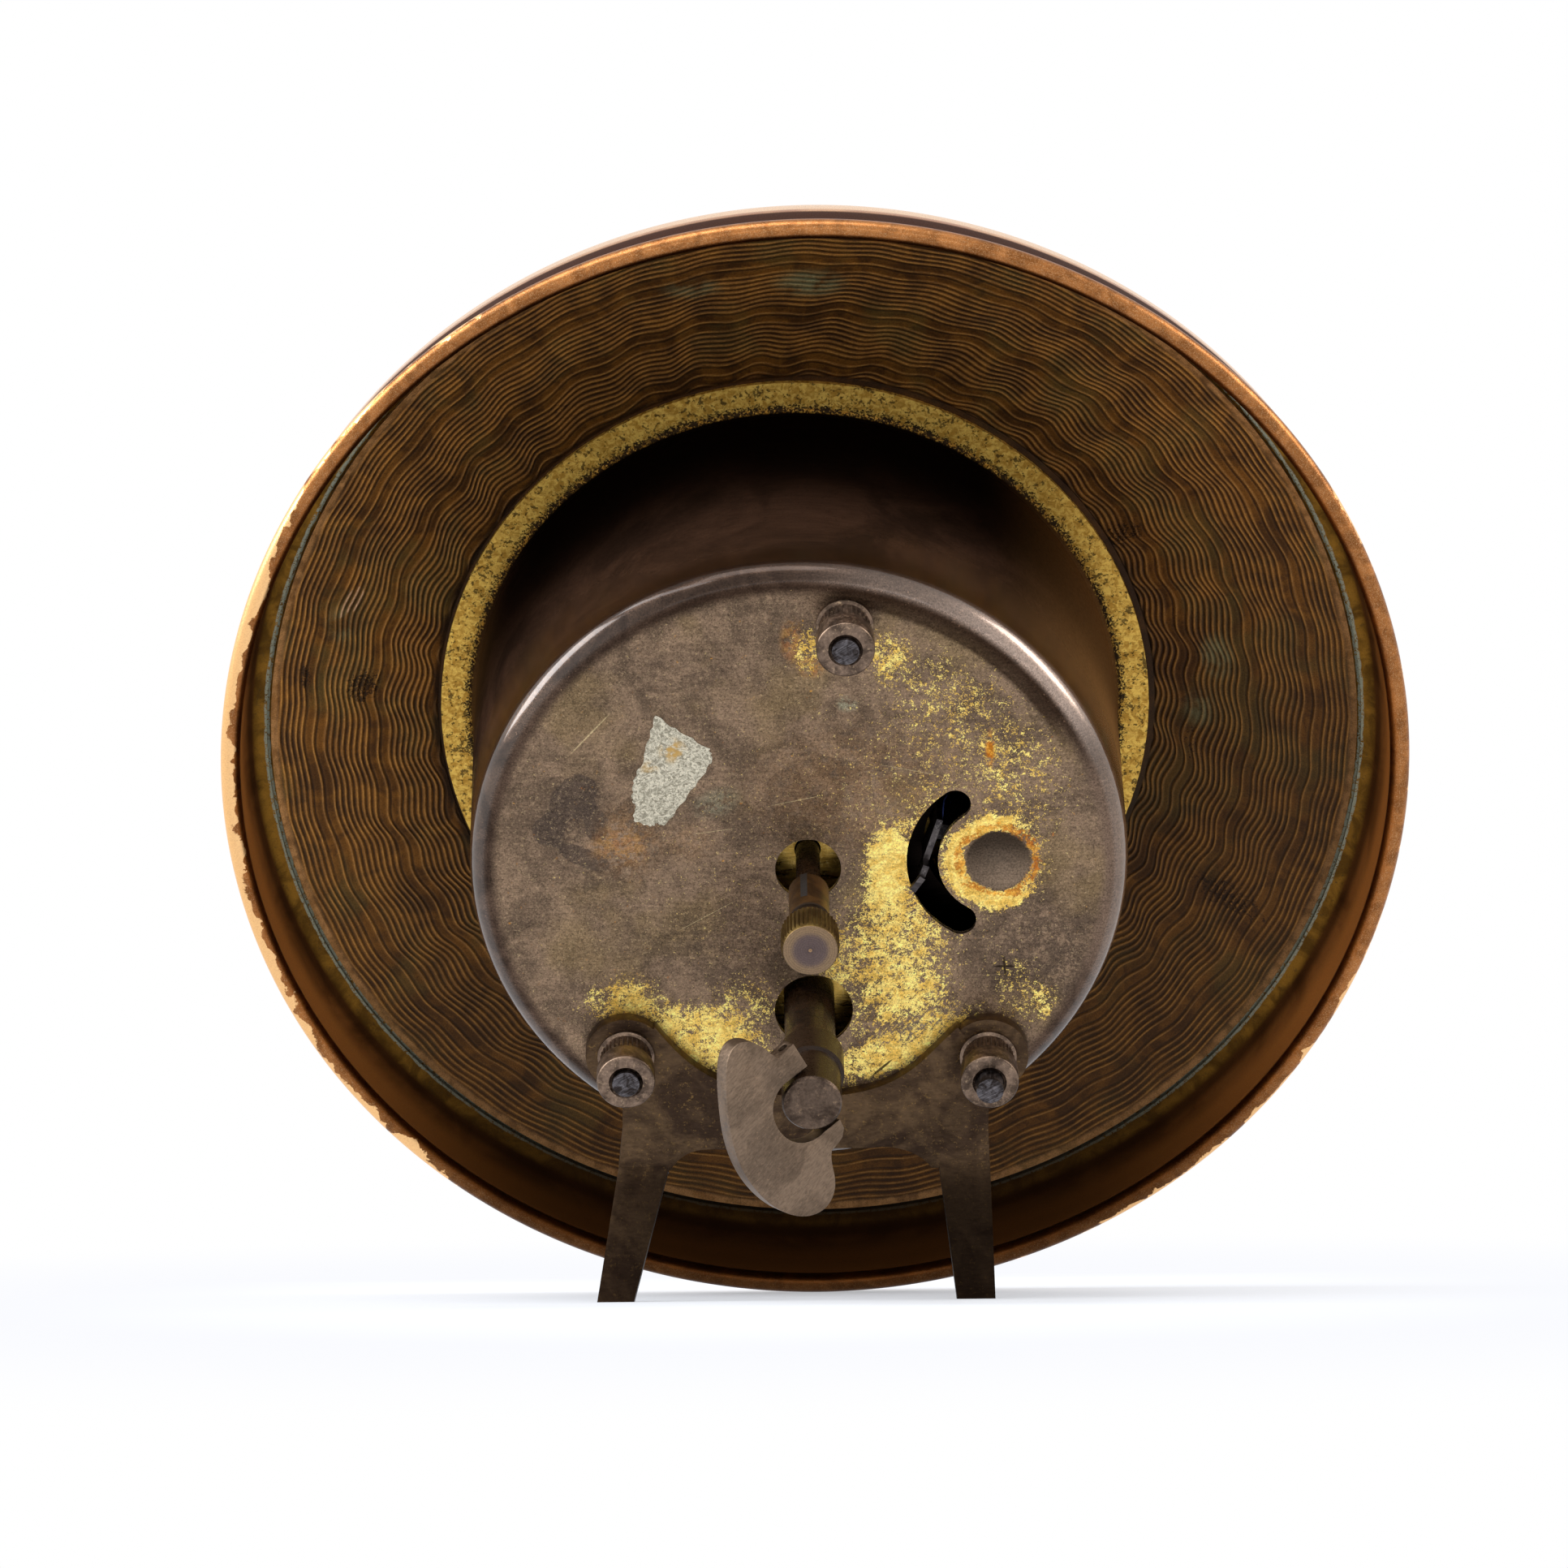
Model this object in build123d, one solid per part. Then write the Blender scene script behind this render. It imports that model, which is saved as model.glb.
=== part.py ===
"""Table clock seen from the rear: spun rim, engine-turned plate, movement case, movement and foot."""

import math
import os

from build123d import *

# Driving sizes in millimetres. Local frame: x right seen from behind, y up in the plate, z rearward,
# with the hand arbor on the z axis and the rear edge of the decorated plate at z = 0.
lean = 27.0
rim_slack = 0.8
cup_slack = 0.7

sheet = 0.5
fit = 0.04
gap = 0.3

# The movement sets the case: studs, then plates, cup, flange and the decorated plate's seat.
stud_circle = 21.4
stud_angles = {"top": 82.1, "left": 227.3, "right": 311.5}
stud_margin = 2.4
plate_radius = stud_circle + stud_margin
case_room = 1.65
drum_radius = plate_radius + case_room + sheet
drum_back = 25.685
drum_corner = 2.0
flange_width = 2.71
flange_radius = drum_radius + flange_width
seat_room = 0.24
seat_radius = flange_radius + seat_room
seat_lap = 0.25
hole_room = 0.65
plate_hole_radius = drum_radius + hole_room
seat_z = -4.65
seat_step = 0.0266

# The decorated plate domes rearward from its seat to its edge, where the rim grips it.
plate_edge_radius = 43.82
dome_radius = 116.0
plate_edge_z = seat_z - seat_step + (plate_edge_radius**2 - seat_radius**2) / (2 * dome_radius)
bead_radius = 0.78
bead_circle = plate_edge_radius + 3.03
bead_z = plate_edge_z + 7.1
lip = 1.52

stud_radius = 1.07
nut_radius = 2.3
nut_length = 4.7
stud_past_nut = 0.3

front_low, front_high = front_plate_z = (-1.9, -0.5)
behind_plate = 3.085
movement_sheet = 1.5
rear_high = drum_back - sheet - behind_plate
rear_low = rear_high - movement_sheet
rear_plate_z = (rear_low, rear_high)

barrel_at = (0.05, -12.5)
winding_hole_at = (0.4, -12.45)
intermediate_at = (-7.49, -2.816)
third_direction = 120.0
balance_at = (14.95, 0.63)
lever_direction = 125.0
lever_length = 7.4
escape_distance = 5.3

barrel_z = (1.2, rear_low - 5.2)
barrel_wall = 0.6

winding_hole_radius = 3.1
hand_hole_radius = 2.6
slot_radii = (4.73, 7.2)
slot_angles = (112.5, 252.5)

foot_sheet = 1.2
floor_drop = -(bead_circle * math.cos(math.radians(lean)) + bead_z * math.sin(math.radians(lean)) + bead_radius)

shaft = 2.0
key_radius = shaft + 0.6
key_head_radius = shaft + 0.35
key_base = drum_back + 7.715
wing_turn = -62.0
wing_lift = 30.0
wing_z = key_base + 6.9
wing_thickness = 1.7

CENTRE_MIN = (Align.CENTER, Align.CENTER, Align.MIN)


def polar(radius, degrees, centre=(0.0, 0.0)):
    """Point at a distance and an angle from a centre."""
    a = math.radians(degrees)
    return (centre[0] + radius * math.cos(a), centre[1] + radius * math.sin(a))


def distance(a, b):
    return math.hypot(b[0] - a[0], b[1] - a[1])


def two_radii(a, ra, b, rb, side):
    """Point at ra from a and at rb from b, on the chosen side."""
    d = distance(a, b)
    ux, uy = (b[0] - a[0]) / d, (b[1] - a[1]) / d
    along = (ra * ra - rb * rb + d * d) / (2 * d)
    off = side * math.sqrt(ra * ra - along * along)
    return (a[0] + ux * along - uy * off, a[1] + uy * along + ux * off)


def disc(radius, z0, z1, at=(0.0, 0.0)):
    return Pos(at[0], at[1], z0) * Cylinder(radius, z1 - z0, align=CENTRE_MIN)


def ring(outer, inner, z0, z1, at=(0.0, 0.0)):
    return disc(outer, z0, z1, at) - disc(inner, z0 - 1, z1 + 1, at)


def turned(points, at=(0.0, 0.0)):
    """Solid of revolution from (radius, z) corners."""
    outline = Polyline(*[(r, 0, z) for r, z in points], close=True)
    return Pos(at[0], at[1], 0) * revolve(make_face(outline), Axis.Z)


def swept_round(curves):
    """Solid of revolution from a closed chain of curves in the xz plane."""
    edges = [edge for curve in curves for edge in curve.edges()]
    return revolve(make_face(edges), Axis.Z)


def slab(points, z0, z1):
    """Flat piece from (x, y) corners."""
    outline = Polyline(*[(x, y, z0) for x, y in points], close=True)
    return extrude(make_face(outline), z1 - z0, dir=(0, 0, 1))


def bar(a, b, width, z0, z1):
    """Flat strip between two points."""
    d = distance(a, b)
    nx, ny = -(b[1] - a[1]) / d * width / 2, (b[0] - a[0]) / d * width / 2
    corners = [(a[0] + nx, a[1] + ny), (a[0] - nx, a[1] - ny), (b[0] - nx, b[1] - ny), (b[0] + nx, b[1] + ny)]
    return slab(corners, z0, z1)


def arc_slot(at, radii, angles, z0, z1):
    """Curved slot with rounded ends, its angles taken to the far ends."""
    middle = (radii[0] + radii[1]) / 2
    half = (radii[1] - radii[0]) / 2
    cap = math.degrees(math.asin(half / middle))
    first, last = angles[0] + cap, angles[1] - cap
    steps = 12
    wedge = [at]
    for k in range(steps + 1):
        wedge.append(polar(radii[1] * 1.4, first + (last - first) * k / steps, at))
    body = ring(radii[1], radii[0], z0, z1, at) & slab(wedge, z0, z1)
    for a in (first, last):
        body += disc(half, z0, z1, polar(middle, a, at))
    return body


def gear_outline(teeth, module, at, turn=0.0):
    """Flat-sided teeth with generous backlash."""
    pitch = teeth * module / 2
    rows = [(-0.27, -tooth_depth), (-0.19, -0.1), (-0.07, 0.85), (0.07, 0.85), (0.19, -0.1), (0.27, -tooth_depth)]
    points = []
    for k in range(teeth):
        for share, height in rows:
            points.append(polar(pitch + height * module, turn + 360 * (k + share) / teeth, at))
    return points


def gear(teeth, module, z0, z1, at, turn=0.0, bore=0.0):
    body = slab(gear_outline(teeth, module, at, turn), z0, z1)
    if bore:
        body -= disc(bore, z0 - 1, z1 + 1, at)
    return body


def spoked(teeth, module, z0, z1, at, turn, bore, hub, spokes=4):
    """Wheel with crossings cut out."""
    body = gear(teeth, module, z0, z1, at, turn, bore)
    outer = teeth * module / 2 - 3.0 * module
    inner = hub
    for k in range(spokes):
        span = 360 / spokes
        first, last = k * span + 9, (k + 1) * span - 9
        corners = [polar(outer, first + (last - first) * i / 8, at) for i in range(9)]
        corners += [polar(inner, last - 12 - (last - first - 24) * i / 4, at) for i in range(5)]
        body -= slab(corners, z0 - 1, z1 + 1)
    return body


def mesh_turn(leader_at, leader_teeth, leader_turn, follower_at, follower_teeth):
    """Turn of the follower that puts a tooth space where the leader has a tooth."""
    line = math.degrees(math.atan2(follower_at[1] - leader_at[1], follower_at[0] - leader_at[0]))
    lead = ((line - leader_turn) / 360 * leader_teeth) % 1.0
    return line + 180 + 360 * (lead + 0.5) / follower_teeth


stud_at = {name: polar(stud_circle, a) for name, a in stud_angles.items()}
rim_at = (rim_slack, 0.0)
cup_at = (-cup_slack, 0.0)

# Tooth counts and modules: each module follows from its centre distance.
great_teeth, intermediate_leaves = 68, 10
intermediate_teeth, centre_leaves = 52, 12
centre_teeth, third_leaves = 60, 8
third_teeth, fourth_leaves = 64, 8
fourth_teeth, escape_leaves = 64, 8
escape_teeth = 15
centre_module = 0.22
third_module = 0.1986

great_module = 2 * distance(barrel_at, intermediate_at) / (great_teeth + intermediate_leaves)
tooth_depth = 1.15
great_step = 0.138
barrel_radius = great_module * (great_teeth / 2 - tooth_depth) - great_step
intermediate_module = 2 * distance(intermediate_at, (0, 0)) / (intermediate_teeth + centre_leaves)
third_at = polar(centre_module * (centre_teeth + third_leaves) / 2, third_direction)
pallet_at = polar(lever_length, lever_direction, balance_at)
escape_at = polar(lever_length + escape_distance, lever_direction, balance_at)
fourth_module = 0.1862
fourth_at = two_radii(
    third_at,
    third_module * (third_teeth + fourth_leaves) / 2,
    escape_at,
    fourth_module * (fourth_teeth + escape_leaves) / 2,
    1,
)

parts = {}

# Spun rim: one sheet turned over the plate's edge in front and curled into a bead behind.
def dome_z(radius):
    """Height of the decorated plate's rear face at a radius about the rim's axis."""
    return plate_edge_z - (plate_edge_radius**2 - radius**2) / (2 * dome_radius)


def from_edge(out, up):
    """Section point counted from the decorated plate's rear edge."""
    return (plate_edge_radius + out, 0, plate_edge_z + up)


lip_rear_z = dome_z(plate_edge_radius - lip) - sheet - fit
lip_sheet = 0.65
outer_line = [
    (plate_edge_radius - lip, 0, lip_rear_z - lip_sheet),
    from_edge(-0.42, -1.68),
    from_edge(0.68, -1.35),
    from_edge(1.53, -0.7),
    from_edge(2.13, 0.2),
    from_edge(2.48, 1.4),
    from_edge(2.73, 3.0),
    from_edge(2.88, 4.8),
    from_edge(2.98, 6.6),
]
inner_line = [
    from_edge(2.42, 6.7),
    from_edge(2.38, 5.0),
    from_edge(2.23, 3.4),
    from_edge(2.03, 2.0),
    from_edge(1.78, 1.0),
    from_edge(1.43, 0.35),
    from_edge(0.98, 0.05),
    from_edge(0.33, -0.05),
]
grip = from_edge(0.33, -sheet - fit - 0.02)
lip_end = (plate_edge_radius - lip, 0, lip_rear_z)
rim_outline = [
    Spline(*outer_line),
    Polyline(outer_line[-1], from_edge(3.03, 7.1), from_edge(2.6, 7.1), inner_line[0]),
    Spline(*inner_line),
    Polyline(inner_line[-1], grip, lip_end, outer_line[0]),
]
rim_sheet = swept_round(rim_outline)
bead = Pos(0, 0, bead_z) * Torus(bead_circle, bead_radius)
parts["spun_rim"] = Pos(rim_slack, 0, 0) * (rim_sheet + bead)

plate_inner = seat_radius - 4.9
plate_middle = (plate_inner + plate_edge_radius) / 2
rear_arc = ThreePointArc(
    (plate_inner, 0, dome_z(plate_inner)),
    (plate_middle, 0, dome_z(plate_middle)),
    from_edge(0, 0),
)
front_arc = ThreePointArc(
    from_edge(0, -sheet),
    (plate_middle, 0, dome_z(plate_middle) - sheet),
    (plate_inner, 0, dome_z(plate_inner) - sheet),
)
shell_outline = [
    rear_arc,
    Line(from_edge(0, 0), from_edge(0, -sheet)),
    front_arc,
    Line((plate_inner, 0, dome_z(plate_inner) - sheet), (plate_inner, 0, dome_z(plate_inner))),
]
dome = Pos(rim_slack, 0, 0) * swept_round(shell_outline)
dome -= disc(seat_radius, seat_z - 9, seat_z + 9, cup_at)
parts["guilloche_plate"] = dome + ring(seat_radius + seat_lap, plate_hole_radius, seat_z - sheet, seat_z, cup_at)

# Movement case: a drawn cup with a flange, opened in the back for the shafts and the regulator.
flange_sheet = 0.45
flange_top = seat_z + flange_sheet
cup_inner = drum_radius - sheet
r_in = drum_corner - sheet
corner = math.sqrt(0.5)
cup_outline = [
    Polyline(
        (0, 0, drum_back - sheet),
        (0, 0, drum_back),
        (drum_radius - drum_corner, 0, drum_back),
    ),
    ThreePointArc(
        (drum_radius - drum_corner, 0, drum_back),
        (drum_radius - drum_corner * (1 - corner), 0, drum_back - drum_corner * (1 - corner)),
        (drum_radius, 0, drum_back - drum_corner),
    ),
    Polyline(
        (drum_radius, 0, drum_back - drum_corner),
        (drum_radius, 0, flange_top + 0.5),
        (drum_radius + 0.5, 0, flange_top),
        (flange_radius, 0, flange_top),
        (flange_radius, 0, seat_z),
        (cup_inner, 0, seat_z),
        (cup_inner, 0, drum_back - drum_corner),
    ),
    ThreePointArc(
        (cup_inner, 0, drum_back - drum_corner),
        (cup_inner - r_in * (1 - corner), 0, drum_back - sheet - r_in * (1 - corner)),
        (cup_inner - r_in, 0, drum_back - sheet),
    ),
    Line((cup_inner - r_in, 0, drum_back - sheet), (0, 0, drum_back - sheet)),
]
cup = Pos(-cup_slack, 0, 0) * swept_round(cup_outline)
cup -= disc(hand_hole_radius, drum_back - 2, drum_back + 1)
cup -= disc(winding_hole_radius, drum_back - 2, drum_back + 1, winding_hole_at)
cup -= arc_slot(balance_at, slot_radii, slot_angles, drum_back - 2, drum_back + 1)
dimple_radius = 2.6
dimple_depth = 0.15
cup -= disc(dimple_radius, drum_back - dimple_depth, drum_back + 1, balance_at)
for at in stud_at.values():
    cup -= disc(stud_radius + gap, drum_back - 2, drum_back + 1, at)
parts["case_cup"] = cup

# Foot bracket: a plate under the two lower nuts, bent down into two legs.
bracket_front = drum_back
bracket_back = drum_back + foot_sheet
left_x, left_y = stud_at["left"]
right_x, right_y = stud_at["right"]
hollow_y = (left_y + right_y) / 2 - 3.47
upper_edge = [
    (left_x + 2.31, left_y + 2.48),
    (left_x + 3.46, left_y + 0.97),
    (left_x + 5.28, left_y - 0.91),
    (left_x + 7.51, left_y - 2.37),
    (-2.4, hollow_y),
    (2.9, hollow_y),
    (right_x - 8.02, right_y - 2.4),
    (right_x - 5.72, right_y - 0.87),
    (right_x - 3.98, right_y + 0.93),
    (right_x - 2.43, right_y + 2.53),
]
bend_y = (left_y + right_y) / 2 - 10.12
leg_width = 4.0
left_in = left_x + 3.31
right_in = right_x - 3.88
arch = [
    (right_in, bend_y - 1.3),
    (right_in - 0.46, bend_y - 0.2),
    (right_in - 1.4, bend_y + 0.9),
    (right_in - 2.8, bend_y + 1.65),
    (right_in - 5.3, bend_y + 1.85),
]
arch_left = [
    (left_in + 6.2, bend_y + 1.85),
    (left_in + 3.52, bend_y + 1.85),
    (left_in + 1.9, bend_y + 1.64),
    (left_in + 0.74, bend_y + 0.88),
    (left_in, bend_y - 0.35),
]
left_side = [
    (left_in, bend_y),
    (left_in - leg_width, bend_y),
    (left_x - 0.34, bend_y + 3.5),
    (left_x - 0.29, left_y - 1.87),
    stud_at["left"],
]
right_side = [
    stud_at["right"],
    (right_x + 0.07, right_y - 1.57),
    (right_x + 0.02, bend_y + 3.5),
    (right_in + leg_width + 0.05, bend_y),
    (right_in, bend_y),
]


def outline_slab(curves, z0, z1):
    """Flat piece inside a closed chain of curves drawn at z 0."""
    edges = [edge for curve in curves for edge in curve.edges()]
    return Pos(0, 0, z0) * extrude(make_face(edges), z1 - z0, dir=(0, 0, 1))


bracket_outline = [
    Spline(*upper_edge),
    Polyline(upper_edge[-1], *right_side, arch[0]),
    Spline(*arch),
    Line(arch[-1], arch_left[0]),
    Spline(*arch_left),
    Polyline(arch_left[-1], *left_side, upper_edge[0]),
]
lobe_radius = 3.2
bracket = outline_slab(bracket_outline, bracket_front, bracket_back)
bracket -= Pos(0, bend_y, bracket_front - 1) * Box(60, 10, 4, align=(Align.CENTER, Align.MAX, Align.MIN))
for name in ("left", "right"):
    lobe = disc(lobe_radius, bracket_front, bracket_back, stud_at[name])
    bracket += lobe
    bracket -= disc(stud_radius + gap, bracket_front - 1, bracket_back + 1, stud_at[name])

lean_a = math.radians(lean)
leg_tilt = math.radians(lean + 14.0)


def to_floor(y, z):
    """Height above the floor plane of a local point."""
    return y * math.cos(lean_a) - z * math.sin(lean_a) - floor_drop


def leg(side):
    """Leg from the bend to the floor, cut level at its foot."""
    if side < 0:
        top_in, top_out = left_in, left_in - leg_width
        foot_in, foot_out = left_in - 3.7, left_in - 6.3
    else:
        top_in, top_out = right_in, right_in + leg_width + 0.05
        foot_in, foot_out = right_in + 1.65, right_in + 4.4
    top_y = bend_y + 0.35
    run = to_floor(top_y, bracket_back) / math.cos(leg_tilt - lean_a) + 3.15
    down = (-math.cos(leg_tilt), math.sin(leg_tilt))
    outline = []
    for x, s in [(top_in, 0), (top_out, 0), (foot_out, run), (foot_in, run)]:
        outline.append((x, top_y + s * down[0], bracket_back + s * down[1]))
    face = make_face(Polyline(*outline, close=True))
    normal = (0, -math.sin(leg_tilt), -math.cos(leg_tilt))
    body = extrude(face, foot_sheet, dir=normal)
    level = Plane(
        origin=(0, floor_drop * math.cos(lean_a), -floor_drop * math.sin(lean_a)),
        x_dir=(1, 0, 0),
        z_dir=(0, -math.cos(lean_a), math.sin(lean_a)),
    )
    cutter = level * Box(80, 80, 40, align=CENTRE_MIN)
    return body - cutter


def knee(side):
    """Rounded bend between the plate and a leg."""
    width = leg_width - 0.02
    x = left_in - leg_width / 2 if side < 0 else right_in + leg_width / 2 + 0.02
    return Pos(x, bend_y + 0.1, bracket_front + foot_sheet / 2) * Rot(0, 90, 0) * Cylinder(foot_sheet / 2, width)


bracket += leg(-1)
bracket += leg(1)
bracket += knee(-1)
bracket += knee(1)
parts["foot_bracket"] = bracket

# Pillars with threaded ends, spacers behind the movement, and the round nuts.
front_stud_radius = 0.9
nut_band_radius = nut_radius - 0.25
nut_collar_radius = nut_radius - 0.05
for name, at in stud_at.items():
    base = drum_back if name == "top" else bracket_back
    nut_end = base + nut_length
    end = nut_end + stud_past_nut + (1.1 if name == "right" else 0.0)
    pillar = disc(1.8, front_plate_z[1], rear_plate_z[0], at)
    pillar += disc(stud_radius, rear_plate_z[0], end, at)
    pillar += disc(front_stud_radius, front_low, front_high, at)
    parts["pillar_" + name] = pillar
    spacer_hole = stud_radius + fit
    parts["spacer_" + name] = ring(2.0, spacer_hole, rear_plate_z[1], drum_back - sheet, at)
    nut = turned(
        [
            (stud_radius + fit, base),
            (nut_collar_radius, base),
            (nut_collar_radius, base + 0.35),
            (nut_band_radius, base + 0.45),
            (nut_band_radius, nut_end - 2.3),
            (nut_radius, nut_end - 2.15),
            (nut_radius, nut_end - 0.2),
            (nut_radius - 0.2, nut_end),
            (stud_radius + fit, nut_end),
        ],
        at,
    )
    parts["nut_" + name] = nut

def drilled(radius, through, at=(0.0, 0.0)):
    """Cutter for a hole right through a plate."""
    return disc(radius, through[0] - 1, through[1] + 1, at)


# Movement plates.
front_plate = disc(plate_radius, *front_plate_z)
rear_plate = disc(plate_radius, *rear_plate_z)
arbors = {
    "intermediate": intermediate_at,
    "third": third_at,
    "fourth": fourth_at,
    "escape": escape_at,
    "pallet": pallet_at,
}
pivot_radius = 0.3
for at in arbors.values():
    front_plate -= drilled(pivot_radius + fit, front_plate_z, at)
    rear_plate -= drilled(pivot_radius + fit, rear_plate_z, at)
hand_neck = 0.95
winding_front_radius = 1.2
winding_rear_radius = 1.8
bearing_radius = 1.6
coil_out = 4.4
front_plate -= drilled(1.5, front_plate_z)
front_plate -= drilled(winding_front_radius + fit, front_plate_z, barrel_at)
front_plate -= drilled(pivot_radius + fit, front_plate_z, balance_at)
rear_plate -= drilled(hand_neck + 0.1, rear_plate_z)
rear_plate -= drilled(winding_rear_radius + fit, rear_plate_z, barrel_at)
rear_plate -= drilled(bearing_radius, rear_plate_z, balance_at)
rear_plate -= arc_slot(balance_at, (coil_out, coil_out + 1.4), (95, 230), rear_low - 1, rear_high + 1)
for at in stud_at.values():
    front_plate -= drilled(front_stud_radius, front_plate_z, at)
    rear_plate -= drilled(stud_radius + fit, rear_plate_z, at)
parts["front_plate"] = front_plate
parts["rear_plate"] = rear_plate

# Barrel with its great wheel, cover, spring and arbor.
barrel_arbor_radius = 1.75
barrel = ring(barrel_radius, barrel_radius - barrel_wall, *barrel_z, barrel_at)
barrel += ring(barrel_radius - 0.1, barrel_arbor_radius + fit, barrel_z[0], barrel_z[0] + 0.7, barrel_at)
great = gear(great_teeth, great_module, 2.5, 4.0, barrel_at)
great -= disc(barrel_radius - 0.1, 2, 5, barrel_at)
barrel += great
parts["barrel_drum"] = barrel
cover_z = barrel_z[1]
parts["barrel_cover"] = ring(barrel_radius, barrel_arbor_radius + fit, cover_z, cover_z + 0.5, barrel_at)


def spiral(at, r0, r1, turns, thick, z0, z1, start=0.0, steps=16):
    """Flat-sided spiral strip."""
    count = int(turns * steps)
    inner, outer = [], []
    for k in range(count + 1):
        share = k / count
        r = r0 + (r1 - r0) * share
        a = start + 360 * turns * share
        inner.append(polar(r - thick / 2, a, at))
        outer.append(polar(r + thick / 2, a, at))
    return slab(inner + outer[::-1], z0, z1)


spring_out = barrel_radius - barrel_wall - 0.3
parts["mainspring"] = spiral(barrel_at, 5.4, spring_out, 9, 0.18, barrel_z[0] + 1.0, cover_z - 0.5)
key_depth = 0.6
arbor = disc(winding_front_radius, front_low, 0.2, barrel_at)
arbor += disc(barrel_arbor_radius, 0.2, cover_z + 0.6, barrel_at)
arbor += disc(3.0, barrel_z[0] + 0.9, cover_z - 0.2, barrel_at)
arbor += disc(winding_rear_radius, cover_z + 0.6, rear_high + 0.1, barrel_at)
arbor += disc(shaft, rear_high + 0.1, key_base + key_depth, barrel_at)
parts["winding_arbor"] = arbor

# Ratchet wheel, click, click spring and screw under the rear plate.
ratchet_teeth = 24
ratchet_radius = 5.0
ratchet_z = (rear_low - 1.3, rear_low - 0.5)
ratchet_points = []
for k in range(ratchet_teeth):
    ratchet_points.append(polar(ratchet_radius, 360 * k / ratchet_teeth, barrel_at))
    ratchet_points.append(polar(ratchet_radius - 0.75, 360 * (k + 0.12) / ratchet_teeth, barrel_at))
ratchet = slab(ratchet_points, *ratchet_z)
ratchet -= drilled(winding_rear_radius, ratchet_z, barrel_at)
parts["ratchet_wheel"] = ratchet
click_at = polar(ratchet_radius + 2.9, -52.0, barrel_at)
nose = polar(ratchet_radius + 0.25, -22.0, barrel_at)
click_bore = 0.6
click_body = disc(1.2, *ratchet_z, click_at) + bar(click_at, nose, 1.3, *ratchet_z)
clearance = disc(ratchet_radius + 0.2, ratchet_z[0] - 1, ratchet_z[1] + 1, barrel_at)
click_body -= clearance
click_body -= drilled(click_bore + fit, ratchet_z, click_at)
parts["click"] = click_body
screw = disc(click_bore, ratchet_z[0] - 0.1, rear_low, click_at)
screw += disc(1.1, ratchet_z[0] - 0.7, ratchet_z[0] - 0.1, click_at)
parts["click_screw"] = screw
spring_from = (click_at[0] + 3.736, click_at[1] - 1.875)
spring_to = (click_at[0] + 1.936, click_at[1] + 3.325)
spring = bar(spring_from, spring_to, 0.25, ratchet_z[0] + 0.1, ratchet_z[1] - 0.1)
spring += disc(0.9, ratchet_z[0] + 0.1, rear_low, spring_from)
parts["click_spring"] = spring

# Going train.
centre_turn = 0.0
great_turn = 0.0
intermediate_turn = mesh_turn(barrel_at, great_teeth, great_turn, intermediate_at, intermediate_leaves)
centre_pinion_turn = mesh_turn(intermediate_at, intermediate_teeth, 0.0, (0, 0), centre_leaves)
third_pinion_turn = mesh_turn((0, 0), centre_teeth, centre_turn, third_at, third_leaves)
fourth_pinion_turn = mesh_turn(third_at, third_teeth, 0.0, fourth_at, fourth_leaves)
escape_pinion_turn = mesh_turn(fourth_at, fourth_teeth, 0.0, escape_at, escape_leaves)

arbor_radius = 0.45
slim_radius = 0.42
shoulder = 0.1


def plain_arbor(at, radius):
    """Steel arbor between the plates, with two pivots."""
    body = disc(radius, front_high + shoulder, rear_low - shoulder, at)
    body += disc(pivot_radius, front_low, front_high + shoulder, at)
    body += disc(pivot_radius, rear_low - shoulder, rear_high, at)
    return body


def wheel_arbor(at, leaves, module, pinion_z, turn, radius):
    """Arbor with a cut pinion."""
    return plain_arbor(at, radius) + gear(leaves, module, *pinion_z, at, turn)


parts["intermediate_arbor"] = wheel_arbor(
    intermediate_at, intermediate_leaves, great_module, (1.9, 4.6), intermediate_turn, arbor_radius
)
intermediate_z = (rear_low - 4.4, rear_low - 3.7)
parts["intermediate_wheel"] = spoked(
    intermediate_teeth, intermediate_module, *intermediate_z, intermediate_at, 0.0, arbor_radius, 1.5
)
hand_rod = 0.6
centre_pipe = 1.1
centre_pinion_z = (rear_low - 4.9, rear_low - 3.1)
centre_z = (rear_low - 2.6, rear_low - 2.0)
centre_pinion = gear(centre_leaves, intermediate_module, *centre_pinion_z, (0, 0), centre_pinion_turn)
centre_pinion -= drilled(hand_rod + fit, centre_pinion_z)
centre_pinion += ring(centre_pipe, hand_rod + fit, centre_pinion_z[1], rear_low - 1.2)
parts["centre_pinion"] = centre_pinion
parts["centre_wheel"] = spoked(centre_teeth, centre_module, *centre_z, (0, 0), centre_turn, centre_pipe, 2.0)
third_pinion_z = (centre_z[0] - 0.3, centre_z[1] + 0.4)
parts["third_arbor"] = wheel_arbor(
    third_at, third_leaves, centre_module, third_pinion_z, third_pinion_turn, arbor_radius
)
parts["third_wheel"] = spoked(third_teeth, third_module, 4.7, 5.2, third_at, 0.0, arbor_radius, 1.4)
parts["fourth_arbor"] = wheel_arbor(
    fourth_at, fourth_leaves, third_module, (4.2, 5.8), fourth_pinion_turn, arbor_radius
)
parts["fourth_wheel"] = spoked(fourth_teeth, fourth_module, 7.9, 8.4, fourth_at, 0.0, arbor_radius, 1.3)
parts["escape_arbor"] = wheel_arbor(
    escape_at, escape_leaves, fourth_module, (7.4, 8.9), escape_pinion_turn, slim_radius
)
escape_radius = 4.0
escape_points = []
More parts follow.
